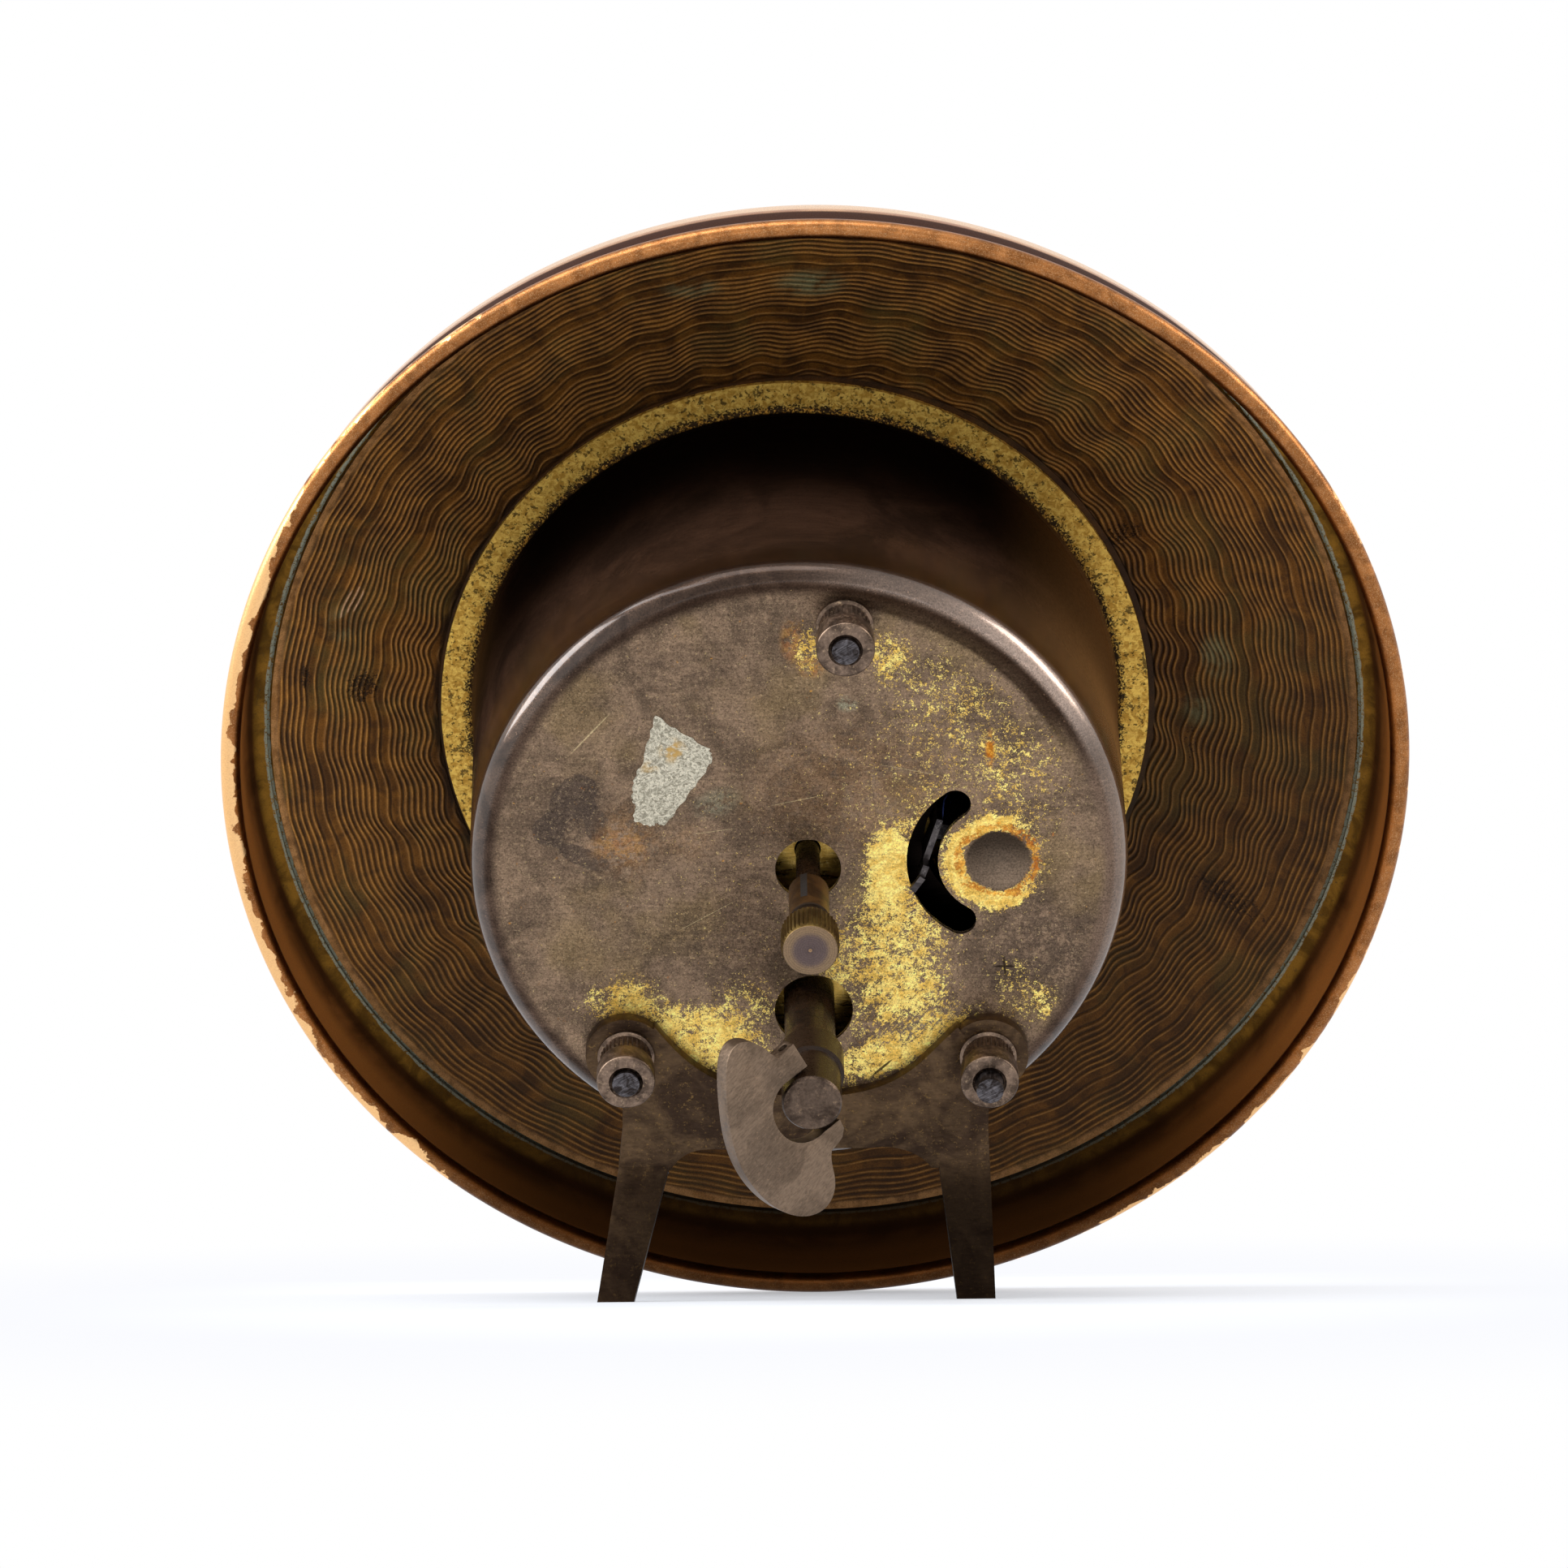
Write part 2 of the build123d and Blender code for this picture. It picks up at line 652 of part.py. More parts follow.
for k in range(escape_teeth):
    escape_points.append(polar(escape_radius, 360 * k / escape_teeth, escape_at))
    escape_points.append(polar(escape_radius - 1.1, 360 * (k + 0.22) / escape_teeth, escape_at))
    escape_points.append(polar(escape_radius - 1.1, 360 * (k + 0.75) / escape_teeth, escape_at))
escape_wheel = slab(escape_points, 11.0, 11.4) - disc(slim_radius, 10, 13, escape_at)
parts["escape_wheel"] = escape_wheel

# Pallet lever with two pins and a fork, on its own arbor.
to_escape = lever_direction
to_balance = lever_direction + 180
lever_z = (9.8, 10.3)
pin_points = [polar(escape_radius + 0.55, to_balance + s * 38.0, escape_at) for s in (-1, 1)]
lever = disc(1.1, *lever_z, pallet_at)
for p in pin_points:
    lever += bar(pallet_at, p, 0.7, *lever_z)
    lever += disc(0.45, *lever_z, p)
    lever += disc(0.16, lever_z[0], 12.0, p)
fork_root = polar(4.9, to_balance, pallet_at)
lever += bar(pallet_at, fork_root, 0.8, *lever_z)
for s in (-1, 1):
    horn = polar(5.55, to_balance + s * 5.0, pallet_at)
    lever += bar(polar(4.6, to_balance + s * 2.6, pallet_at), horn, 0.4, *lever_z)
lever -= drilled(slim_radius, lever_z, pallet_at)
parts["pallet_lever"] = lever
parts["pallet_arbor"] = plain_arbor(pallet_at, slim_radius)

# Balance, roller, hairspring and the regulator.
balance_z = (rear_low - 6.8, rear_low - 5.7)
balance_radius = 6.3
staff_radius = 0.5
collet_radius = 1.0
balance = ring(balance_radius, balance_radius - 0.9, *balance_z, balance_at)
arm_ends = [polar(balance_radius - 0.7, a, balance_at) for a in (35, 215)]
balance += bar(*arm_ends, 0.9, balance_z[0] + 0.3, balance_z[0] + 0.8)
balance += disc(1.0, balance_z[0] + 0.1, balance_z[0] + 1.0, balance_at)
balance -= drilled(staff_radius, balance_z, balance_at)
parts["balance_wheel"] = balance
staff_end = rear_low - 1.0
roller_z = lever_z[1] + 0.5
coil_z = (rear_low - 4.1, rear_low - 3.6)
staff = disc(staff_radius, front_high + shoulder, staff_end, balance_at)
staff += disc(pivot_radius, front_low, front_high + shoulder, balance_at)
staff += disc(pivot_radius, staff_end, rear_low + 0.4, balance_at)
staff += disc(1.7, roller_z, roller_z + 0.5, balance_at)
staff += disc(0.2, lever_z[0], roller_z, polar(1.2, to_balance + 180, balance_at))
staff += disc(collet_radius, coil_z[0] - 0.2, coil_z[1] + 0.2, balance_at)
parts["balance_staff"] = staff
coil_turns = 6
parts["hairspring"] = spiral(balance_at, collet_radius + 0.05, coil_out, coil_turns, 0.1, *coil_z, start=-60.0)
stud_point = polar(coil_out + 0.5, -60.0, balance_at)
parts["hairspring_stud"] = disc(0.45, coil_z[0] - 0.1, rear_low, stud_point)
bearing_end = rear_high + 1.5
bearing = disc(bearing_radius, rear_low - 0.4, bearing_end, balance_at)
bearing += disc(bearing_radius + 1.0, bearing_end - 0.5, bearing_end, balance_at)
bearing -= disc(pivot_radius + fit, staff_end - 0.6, rear_low + 0.8, balance_at)
parts["balance_bearing"] = bearing
index_z = (rear_high, rear_high + 0.6)
index = ring(bearing_radius + 1.4, bearing_radius + fit, *index_z, balance_at)
index += bar(polar(2.6, 165.0, balance_at), (9.8, 1.9), 1.3, *index_z)
index += bar((10.4, 3.85), (9.25, 0.25), 0.5, index_z[0], drum_back - 0.785)
index += bar((9.3, 0.4), (8.9, -0.7), 0.5, drum_back - 1.485, drum_back + 0.415)
index += bar((9.0, -0.45), (8.2, -1.6), 0.5, drum_back + 0.265, drum_back + 0.815)
index += disc(0.22, coil_z[0] - 0.2, index_z[0] + 0.2, polar(coil_out + 0.7, 172.0, balance_at))
parts["regulator_index"] = index

# Motion work behind the dial.
dial_z = (seat_z - 0.95, seat_z - 0.55)
hour_front = dial_z[0] - 0.9
minute_front = hour_front - 0.45
motion_distance = 7.2
cannon_teeth, minute_teeth = 12, 36
minute_leaves, hour_teeth = 10, 40
motion_module_a = 2 * motion_distance / (cannon_teeth + minute_teeth)
motion_module_b = 2 * motion_distance / (minute_leaves + hour_teeth)
minute_at = polar(motion_distance, 200.0)
cannon_pipe = 1.1
cannon_turn = 0.0
minute_turn = mesh_turn((0, 0), cannon_teeth, cannon_turn, minute_at, minute_teeth)
cannon = gear(cannon_teeth, motion_module_a, -3.0, -2.1, (0, 0), cannon_turn)
cannon += disc(cannon_pipe, minute_front, -3.0)
cannon -= disc(hand_rod, -9, 0)
parts["cannon_pinion"] = cannon
hour_turn = mesh_turn(minute_at, minute_leaves, 0.0, (0, 0), hour_teeth)
hour_pipe = 1.7
hour = gear(hour_teeth, motion_module_b, -4.1, -3.5, (0, 0), hour_turn)
hour += disc(hour_pipe, hour_front, -4.1)
hour -= disc(cannon_pipe + fit, -9, 0)
parts["hour_wheel"] = hour
minute_wheel = gear(minute_teeth, motion_module_a, -2.9, -2.3, minute_at, minute_turn)
minute_wheel += gear(minute_leaves, motion_module_b, -4.4, -2.9, minute_at, 0.0)
minute_bore = 0.7
minute_wheel -= disc(minute_bore + fit, -6, 0, minute_at)
parts["minute_wheel"] = minute_wheel
parts["minute_post"] = disc(minute_bore, -4.7, front_low, minute_at) + disc(1.0, -4.75, -4.45, minute_at)

# Dial, hands, crystal and bezel.
collar_room = 0.3
collar_radius = cup_inner - collar_room
crystal_edge = collar_radius - 1.35
dial_radius = crystal_edge - 0.2
dial = disc(dial_radius, *dial_z) - drilled(hour_pipe + gap, dial_z)
dial_feet = [polar(dial_radius - 4.1, a) for a in (30.0, 150.0, 270.0)]
for at in dial_feet:
    dial += disc(0.8, dial_z[1], front_low, at)
parts["dial"] = dial


def hand(length, width, tail, z0, z1, bore, turn):
    """Tapered hand with a round boss."""
    tip = polar(length, turn)
    back = polar(tail, turn + 180)
    wide = [polar(length * 0.62, turn + s * math.degrees(width / 2 / (length * 0.62))) for s in (1, -1)]
    near = [polar(bore + 0.8, turn + s * 18.0) for s in (1, -1)]
    body = slab([near[0], wide[0], tip, wide[1], near[1], back], z0, z1)
    body += disc(bore + 1.0, z0, z1)
    body -= disc(bore, z0 - 1, z1 + 1)
    return body


# Ten past ten: seen from behind, clock angles run the other way round.
minute_angle = 90.0 + 60.0
hour_angle = 90.0 + 305.0
parts["hour_hand"] = hand(12.0, 2.2, 3.0, hour_front, hour_front + 0.3, hour_pipe, hour_angle)
parts["minute_hand"] = hand(17.2, 1.8, 4.0, minute_front, minute_front + 0.25, cannon_pipe, minute_angle)

bezel_radius = flange_radius - 0.16
bezel_seat = seat_z - sheet
crystal_rise = 3.8
glass = 0.75
edge_z = dial_z[0] - 1.3
bezel_opening = crystal_edge - 1.2
bezel_inner = collar_radius - 0.45
bezel = turned(
    [
        (bezel_radius, bezel_seat),
        (bezel_radius, bezel_seat - 0.55),
        (bezel_radius - 1.1, edge_z),
        (bezel_radius - 3.0, edge_z - 0.8),
        (bezel_opening + 0.8, edge_z - 1.0),
        (bezel_opening, edge_z - 0.7),
        (bezel_opening, edge_z),
        (crystal_edge + collar_room, edge_z),
        (crystal_edge + collar_room, edge_z + glass + 0.15),
        (bezel_inner, edge_z + glass + 0.15),
        (bezel_inner, front_low + collar_room),
        (collar_radius, front_low + collar_room),
        (collar_radius, bezel_seat),
    ],
    cup_at,
)
parts["dial_bezel"] = bezel
rise_radius = crystal_edge - 1.8
ball = (rise_radius**2 + crystal_rise**2) / (2 * crystal_rise)
mid = rise_radius / 2


def cap_z(r, base):
    return base - crystal_rise + (ball - math.sqrt(ball * ball - r * r))


glass_outline = [
    ThreePointArc((0, 0, cap_z(0, edge_z)), (mid, 0, cap_z(mid, edge_z)), (rise_radius, 0, edge_z)),
    Polyline(
        (rise_radius, 0, edge_z),
        (crystal_edge, 0, edge_z),
        (crystal_edge, 0, edge_z + glass),
        (rise_radius, 0, edge_z + glass),
    ),
    ThreePointArc(
        (rise_radius, 0, edge_z + glass),
        (mid, 0, cap_z(mid, edge_z) + glass),
        (0, 0, cap_z(0, edge_z) + glass),
    ),
    Line((0, 0, cap_z(0, edge_z) + glass), (0, 0, cap_z(0, edge_z))),
]
parts["crystal"] = Pos(-cup_slack, 0, 0) * swept_round(glass_outline)
parts["crystal_spacer"] = ring(crystal_edge, bezel_opening, edge_z + glass, dial_z[0], cup_at)

# Hand arbor from the minute hand to the setting knob behind.
knob_start = drum_back + 3.915
knob_end = knob_start + 10.4
knob_radius = 2.25
tube_radius = 1.58
tube_depth = 1.6
neck_low = rear_low - 0.6
hand_arbor = disc(hand_rod, minute_front - 0.45, neck_low)
hand_arbor += disc(hand_neck, neck_low, knob_start + tube_depth - 0.2)
hand_arbor += disc(1.0, minute_front - 0.75, minute_front - 0.05)
hand_arbor += disc(1.0, neck_low - 0.4, neck_low)
parts["hand_arbor"] = hand_arbor
knob_tube = turned(
    [
        (hand_neck, knob_start),
        (tube_radius, knob_start),
        (tube_radius, knob_end - 5.3),
        (tube_radius - 0.1, knob_end - 5.2),
        (tube_radius - 0.1, knob_end - 4.6),
        (tube_radius, knob_end - 4.5),
        (tube_radius, knob_end - 3.85),
        (knob_radius - 0.5, knob_end - 3.8),
        (knob_radius - 0.08, knob_end - 3.05),
        (knob_radius, knob_end - 2.7),
        (knob_radius, knob_end - 0.2),
        (knob_radius - 0.2, knob_end),
        (0.0, knob_end),
        (0.0, knob_start + tube_depth),
        (hand_neck, knob_start + tube_depth),
    ]
)
slot_width = 0.55
slot_turn = 15.0
knob_slot = Pos(0, 0, knob_start - 0.1) * Rot(0, 0, slot_turn) * Box(slot_width, 4 * tube_radius, 4.0, align=CENTRE_MIN)
knob_tube -= knob_slot
parts["hand_knob"] = knob_tube

# Winding key head with its folding wing.
key = turned(
    [
        (shaft, key_base),
        (key_radius - 0.05, key_base),
        (key_radius, key_base + 0.2),
        (key_radius, key_base + 3.4),
        (key_head_radius, key_base + 3.6),
        (key_head_radius, key_base + 8.1),
        (key_head_radius - 0.15, key_base + 8.3),
        (0.0, key_base + 8.3),
        (0.0, key_base + key_depth),
        (shaft, key_base + key_depth),
    ],
    barrel_at,
)
wing_frame = Plane(
    origin=(barrel_at[0], barrel_at[1], wing_z),
    x_dir=(math.cos(math.radians(wing_turn)), math.sin(math.radians(wing_turn)), 0),
    z_dir=(0, 0, 1),
)
pin_radius = 0.35
pin_hole = wing_frame * (Rot(0, 90, 0) * Cylinder(pin_radius, 8))
key -= pin_hole
parts["winding_key"] = key
parts["wing_pin"] = wing_frame * (Rot(0, 90, 0) * Cylinder(pin_radius, 7.4))

# The wing is drawn flat, its pin on the x axis, and stands raised at rest.
wing_rim = [
    (-4.7, 1.05),
    (-5.85, 1.49),
    (-7.17, 2.16),
    (-7.8, 3.26),
    (-7.55, 4.15),
    (-6.41, 5.24),
    (-3.98, 6.62),
    (-1.38, 7.72),
    (1.02, 8.18),
    (4.27, 7.84),
    (6.44, 6.81),
    (7.75, 5.23),
    (7.94, 4.0),
    (7.5, 2.95),
    (6.4, 2.1),
    (5.07, 1.61),
    (4.4, 1.15),
]
wing_hollow = [(2.72, 0.9), (2.62, 2.25), (1.7, 3.5), (0.15, 3.98), (-1.4, 3.6), (-2.4, 2.5), (-2.62, 1.2)]
small_ear = [(4.4, 1.15), (4.25, 0.4), (4.05, -0.15), (3.5, -0.65), (2.72, -0.7), (2.72, 0.9)]
large_ear = [(-2.62, 1.2), (-2.62, -0.7), (-4.85, -0.65), (-4.7, 1.05)]


def mirrored(points):
    return [(x, -y) for x, y in points]


wing_curves = [
    Spline(*mirrored(wing_rim)),
    Polyline(*mirrored(small_ear)),
    Spline(*mirrored(wing_hollow)),
    Polyline(*mirrored(large_ear)),
]
raised = wing_frame * Rot(-wing_lift, 0, 0)
wing = raised * outline_slab(wing_curves, -wing_thickness / 2, wing_thickness / 2)
wing -= wing_frame * (Rot(0, 90, 0) * Cylinder(pin_radius + fit, 12))
parts["winding_wing"] = wing

# Place everything in the part's frame: dial toward minus y, top leaning back, base centre at the origin.
tilt = Plane(
    origin=(0, 0, 0),
    x_dir=(-1, 0, 0),
    z_dir=(0, math.cos(lean_a), -math.sin(lean_a)),
)
placed = {name: tilt.location * body for name, body in parts.items()}
boxes = [body.bounding_box() for body in placed.values()]
low = [min(getattr(b.min, axis) for b in boxes) for axis in "XYZ"]
high = [max(getattr(b.max, axis) for b in boxes) for axis in "XYZ"]
shift = (-(low[0] + high[0]) / 2, -(low[1] + high[1]) / 2, -low[2])
os.makedirs("parts", exist_ok=True)
for name, body in placed.items():
    export_step(Pos(*shift) * body, f"parts/{name}.step")
print("shift", [round(s, 4) for s in shift], "size", [round(b - a, 3) for a, b in zip(low, high)])
print("fourth", fourth_at, "third", third_at, "escape", escape_at, "pallet", pallet_at)
print("plate edge", plate_edge_z, "barrel radius", barrel_radius, "rear plate", rear_plate_z)
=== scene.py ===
"""Looks of the table clock seen from the rear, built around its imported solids."""

import math

import bmesh
import bpy
from mathutils import Matrix, Vector


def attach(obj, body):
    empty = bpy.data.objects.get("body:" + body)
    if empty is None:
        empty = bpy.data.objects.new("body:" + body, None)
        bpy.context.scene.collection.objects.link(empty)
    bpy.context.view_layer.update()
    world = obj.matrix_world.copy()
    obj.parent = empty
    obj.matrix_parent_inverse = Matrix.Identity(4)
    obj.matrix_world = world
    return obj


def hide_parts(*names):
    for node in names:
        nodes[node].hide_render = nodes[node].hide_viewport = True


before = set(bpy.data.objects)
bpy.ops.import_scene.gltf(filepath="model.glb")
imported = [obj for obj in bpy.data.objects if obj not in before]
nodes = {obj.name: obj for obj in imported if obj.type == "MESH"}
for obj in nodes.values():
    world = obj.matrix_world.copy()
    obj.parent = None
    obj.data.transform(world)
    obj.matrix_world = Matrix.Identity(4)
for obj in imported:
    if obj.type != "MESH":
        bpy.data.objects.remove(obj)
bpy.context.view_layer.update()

MM = 0.001
LEAN = math.radians(27.0)
AXIS_FOOT = Vector((0.8, -8.1222, 45.747)) * MM
ACROSS = Vector((-1, 0, 0))
UP_PLATE = Vector((0, math.sin(LEAN), math.cos(LEAN)))
REARWARD = Vector((0, math.cos(LEAN), -math.sin(LEAN)))
CLOCK_TURN = Matrix((ACROSS, UP_PLATE, REARWARD)).transposed()
CLOCK_MATRIX = Matrix.Translation(AXIS_FOOT) @ CLOCK_TURN.to_4x4() @ Matrix.Scale(MM, 4)

# Sizes of the clock in millimetres: x across seen from behind, y up the plate, z rearward.
RIM_AT = (0.8, 0.0)
CUP_AT = (-0.7, 0.0)
BALANCE_AT = (14.95, 0.63)
STUD_CIRCLE = 21.4
STUD_ANGLES = {"top": 82.1, "left": 227.3, "right": 311.5}
DRUM_BACK = 25.685
BRACKET_BACK = DRUM_BACK + 1.2
NUT_LENGTH = 4.7
KEY_BACK = DRUM_BACK + 15.8
PLATE_EDGE = 43.82
DOME = 116.0
SEAT = 28.9
SEAT_Z = -4.65
SHEET = 0.5


def place(x, y, z):
    """Point of the part's frame for clock coordinates in millimetres."""
    return CLOCK_MATRIX @ Vector((x, y, z))


def polar(radius, degrees, centre=(0.0, 0.0)):
    a = math.radians(degrees)
    return centre[0] + radius * math.cos(a), centre[1] + radius * math.sin(a)


STUD_AT = {name: polar(STUD_CIRCLE, a) for name, a in STUD_ANGLES.items()}


def paint(red, green, blue):
    """Linear colour of a screen colour given from 0 to 255."""
    out = []
    for value in (red, green, blue):
        c = value / 255
        out.append(c / 12.92 if c <= 0.04045 else ((c + 0.055) / 1.055) ** 2.4)
    return (*out, 1.0)


def operation(kind, swapped=False):
    """Method that joins two values with a math node."""

    def apply(self, other):
        return self.web.calc(kind, other, self) if swapped else self.web.calc(kind, self, other)

    return apply


class Field:
    """Value inside a node tree, which adds and multiplies like a number."""

    __add__, __radd__ = operation("ADD"), operation("ADD", True)
    __sub__, __rsub__ = operation("SUBTRACT"), operation("SUBTRACT", True)
    __mul__, __rmul__ = operation("MULTIPLY"), operation("MULTIPLY", True)
    __truediv__, __rtruediv__ = operation("DIVIDE"), operation("DIVIDE", True)

    def __init__(self, web, socket):
        self.web = web
        self.socket = socket

    def __abs__(self):
        return self.web.calc("ABSOLUTE", self)


class Web:
    """Adds nodes to a tree and joins them. Colours are screen colours from 0 to 255."""

    def __init__(self, tree):
        self.tree = tree

    def feed(self, socket, value):
        if isinstance(value, Field):
            value = value.socket
        if isinstance(value, bpy.types.NodeSocket):
            self.tree.links.new(value, socket)
        elif value is not None:
            screen_colour = socket.type == "RGBA" and len(value) == 3
            socket.default_value = paint(*value) if screen_colour else value

    def add(self, kind, named=None, **settings):
        node = self.tree.nodes.new(kind)
        for key, value in settings.items():
            setattr(node, key, value)
        for key, value in (named or {}).items():
            self.feed(node.inputs[key], value)
        return node

    def calc(self, operation, a, b=None, c=None, clamp=False):
        node = self.add("ShaderNodeMath", operation=operation, use_clamp=clamp)
        for socket, value in zip(node.inputs, (a, b, c)):
            self.feed(socket, value)
        return Field(self, node.outputs[0])

    def larger(self, a, b):
        return self.calc("MAXIMUM", a, b)

    def vector(self, operation, a, b=None, scale=None):
        node = self.add("ShaderNodeVectorMath", operation=operation)
        self.feed(node.inputs[0], a)
        self.feed(node.inputs[1], b)
        if scale is not None:
            self.feed(node.inputs["Scale"], scale)
        return Field(self, node.outputs["Value" if operation == "LENGTH" else 0])

    def off_axis(self, vector):
        """Distance of a vector from its z axis."""
        return self.vector("LENGTH", self.vector("MULTIPLY", vector, (1.0, 1.0, 0.0)))

    def turned(self, vector, angle):
        """Vector turned round the z axis by an angle in radians."""
        named = {"Vector": vector, "Angle": angle}
        return self.add("ShaderNodeVectorRotate", named, rotation_type="Z_AXIS").outputs[0]

    def split(self, vector):
        outputs = self.add("ShaderNodeSeparateXYZ", {"Vector": vector}).outputs
        return [Field(self, socket) for socket in outputs]

    def join(self, x, y, z):
        return self.add("ShaderNodeCombineXYZ", {"X": x, "Y": y, "Z": z}).outputs[0]

    def span(self, value, low, high, to_low=0.0, to_high=1.0, smooth=True):
        """Value between two limits taken to a new range, with soft ends."""
        node = self.add("ShaderNodeMapRange", interpolation_type="SMOOTHSTEP" if smooth else "LINEAR")
        names = ("Value", "From Min", "From Max", "To Min", "To Max")
        for key, given in zip(names, (value, low, high, to_low, to_high)):
            self.feed(node.inputs[key], given)
        return Field(self, node.outputs["Result"])

    def band(self, value, start, full, wane, end):
        """One between the two middle limits, fading to nothing at the outer ones."""
        return self.span(value, start, full) * self.span(value, end, wane)

    def noise(self, vector, scale, detail=2.0, rough=0.5, bend=0.0):
        named = {"Vector": vector, "Scale": scale, "Detail": detail, "Roughness": rough, "Distortion": bend}
        return Field(self, self.add("ShaderNodeTexNoise", named).outputs[0])

    def mix(self, factor, a, b, kind="MIX"):
        node = self.add("ShaderNodeMix", data_type="RGBA", blend_type=kind, clamp_result=True)
        for index, value in ((0, factor), (6, a), (7, b)):
            self.feed(node.inputs[index], value)
        return node.outputs[2]

    def coats(self, colour, *rows):
        """Colour with further coats over it, each given as its amount and colour."""
        for amount, coat in rows:
            colour = self.mix(amount, colour, coat)
        return colour

    def toned(self, colour, shade):
        """Colour multiplied by a grey shade."""
        return self.mix(1.0, colour, self.join(shade, shade, shade), "MULTIPLY")

    def shape(self, kind, geometry, **named):
        """Geometry that comes out of a geometry node of the given kind."""
        return self.add("GeometryNode" + kind, {"Geometry": geometry, **named}).outputs[0]

    def seen(self):
        """One for rays from the camera, from gloss and through glass."""
        rays = self.add("ShaderNodeLightPath").outputs
        gloss = self.larger(rays["Is Glossy Ray"], rays["Is Transmission Ray"])
        return self.larger(rays["Is Camera Ray"], gloss)


def new_group(name, inputs, outputs, kind="ShaderNodeTree"):
    """Node group with named sockets, and its web, its inputs by name and its result sockets."""
    group = bpy.data.node_groups.new(name, kind)
    for socket_name, socket_type, *value in inputs:
        socket = group.interface.new_socket(socket_name, in_out="INPUT", socket_type=socket_type)
        if value:
            socket.default_value = value[0]
    for socket_name, socket_type in outputs:
        group.interface.new_socket(socket_name, in_out="OUTPUT", socket_type=socket_type)
    web = Web(group)
    given = {socket.name: Field(web, socket) for socket in web.add("NodeGroupInput").outputs}
    result = web.add("NodeGroupOutput").inputs
    return group, web, given, result


FLOAT, COLOUR, VECTOR = "NodeSocketFloat", "NodeSocketColor", "NodeSocketVector"
WHOLE, MATERIAL, GEOMETRY = "NodeSocketInt", "NodeSocketMaterial", "NodeSocketGeometry"


def make_speckle():
    """Crisp small flecks that cover a given share of a surface."""
    inputs = [("Vector", VECTOR), ("Size", FLOAT), ("Cover", FLOAT), ("Crisp", FLOAT)]
    group, web, given, result = new_group("speckle", inputs, [("Mask", FLOAT)])
    scale = 1.0 / given["Size"]
    coarse = web.noise(given["Vector"], scale, 5.0, 0.74, 0.1)
    fine = web.noise(given["Vector"], scale * 3.1, 2.0, 0.6, 0.0)
    both = coarse * 0.6 + fine * 0.4
    limit = 0.67 - given["Cover"] * 0.34
    web.feed(result["Mask"], web.span(both, limit - given["Crisp"], limit + given["Crisp"]))
    return group


def make_patch():
    """Soft oval area, one at its middle and nothing outside."""
    inputs = [("Vector", VECTOR), ("Centre", VECTOR), ("Radii", VECTOR), ("Turn", FLOAT)]
    group, web, given, result = new_group("soft patch", inputs, [("Mask", FLOAT)])
    from_centre = web.vector("SUBTRACT", given["Vector"], given["Centre"])
    turned = web.turned(from_centre, given["Turn"])
    share = web.off_axis(web.vector("DIVIDE", turned, given["Radii"]))
    web.feed(result["Mask"], web.span(share, 1.0, 0.25))
    return group


def make_grain():
    """Fine uneven shade and height for worked metal."""
    inputs = [("Vector", VECTOR), ("Size", FLOAT), ("Stretch", VECTOR), ("Contrast", FLOAT)]
    outputs = [("Shade", FLOAT), ("Height", FLOAT)]
    group, web, given, result = new_group("fine grain", inputs, outputs)
    stretched = web.vector("MULTIPLY", given["Vector"], given["Stretch"])
    value = web.noise(stretched, 1.0 / given["Size"], 4.0, 0.65)
    darkest, lightest = 1.0 - given["Contrast"], 1.0 + given["Contrast"]
    web.feed(result["Shade"], web.span(value, 0.3, 0.7, darkest, lightest, smooth=False))
    web.feed(result["Height"], value)
    return group


def make_tarnish():
    """Metal colour that drifts between two tones in clouds, with darker pits."""
    inputs = [
        ("Vector", VECTOR), ("Light", COLOUR), ("Dark", COLOUR),
        ("Cloud size", FLOAT), ("Pit size", FLOAT), ("Pits", FLOAT),
    ]
    group, web, given, result = new_group("tarnish", inputs, [("Color", COLOUR)])
    cloud = web.noise(given["Vector"], 1.0 / given["Cloud size"], 4.0, 0.6, 0.8)
    colour = web.mix(web.span(cloud, 0.36, 0.64), given["Dark"], given["Light"])
    pit = web.noise(given["Vector"], 1.0 / given["Pit size"], 3.0, 0.7)
    shade = web.span(pit, 0.58, 0.72, 0.0, given["Pits"])
    dark = web.mix(0.55, given["Dark"], (0, 0, 0))
    web.feed(result["Color"], web.mix(shade, colour, dark))
    return group


SPECKLE = make_speckle()
PATCH = make_patch()
GRAIN = make_grain()
TARNISH = make_tarnish()


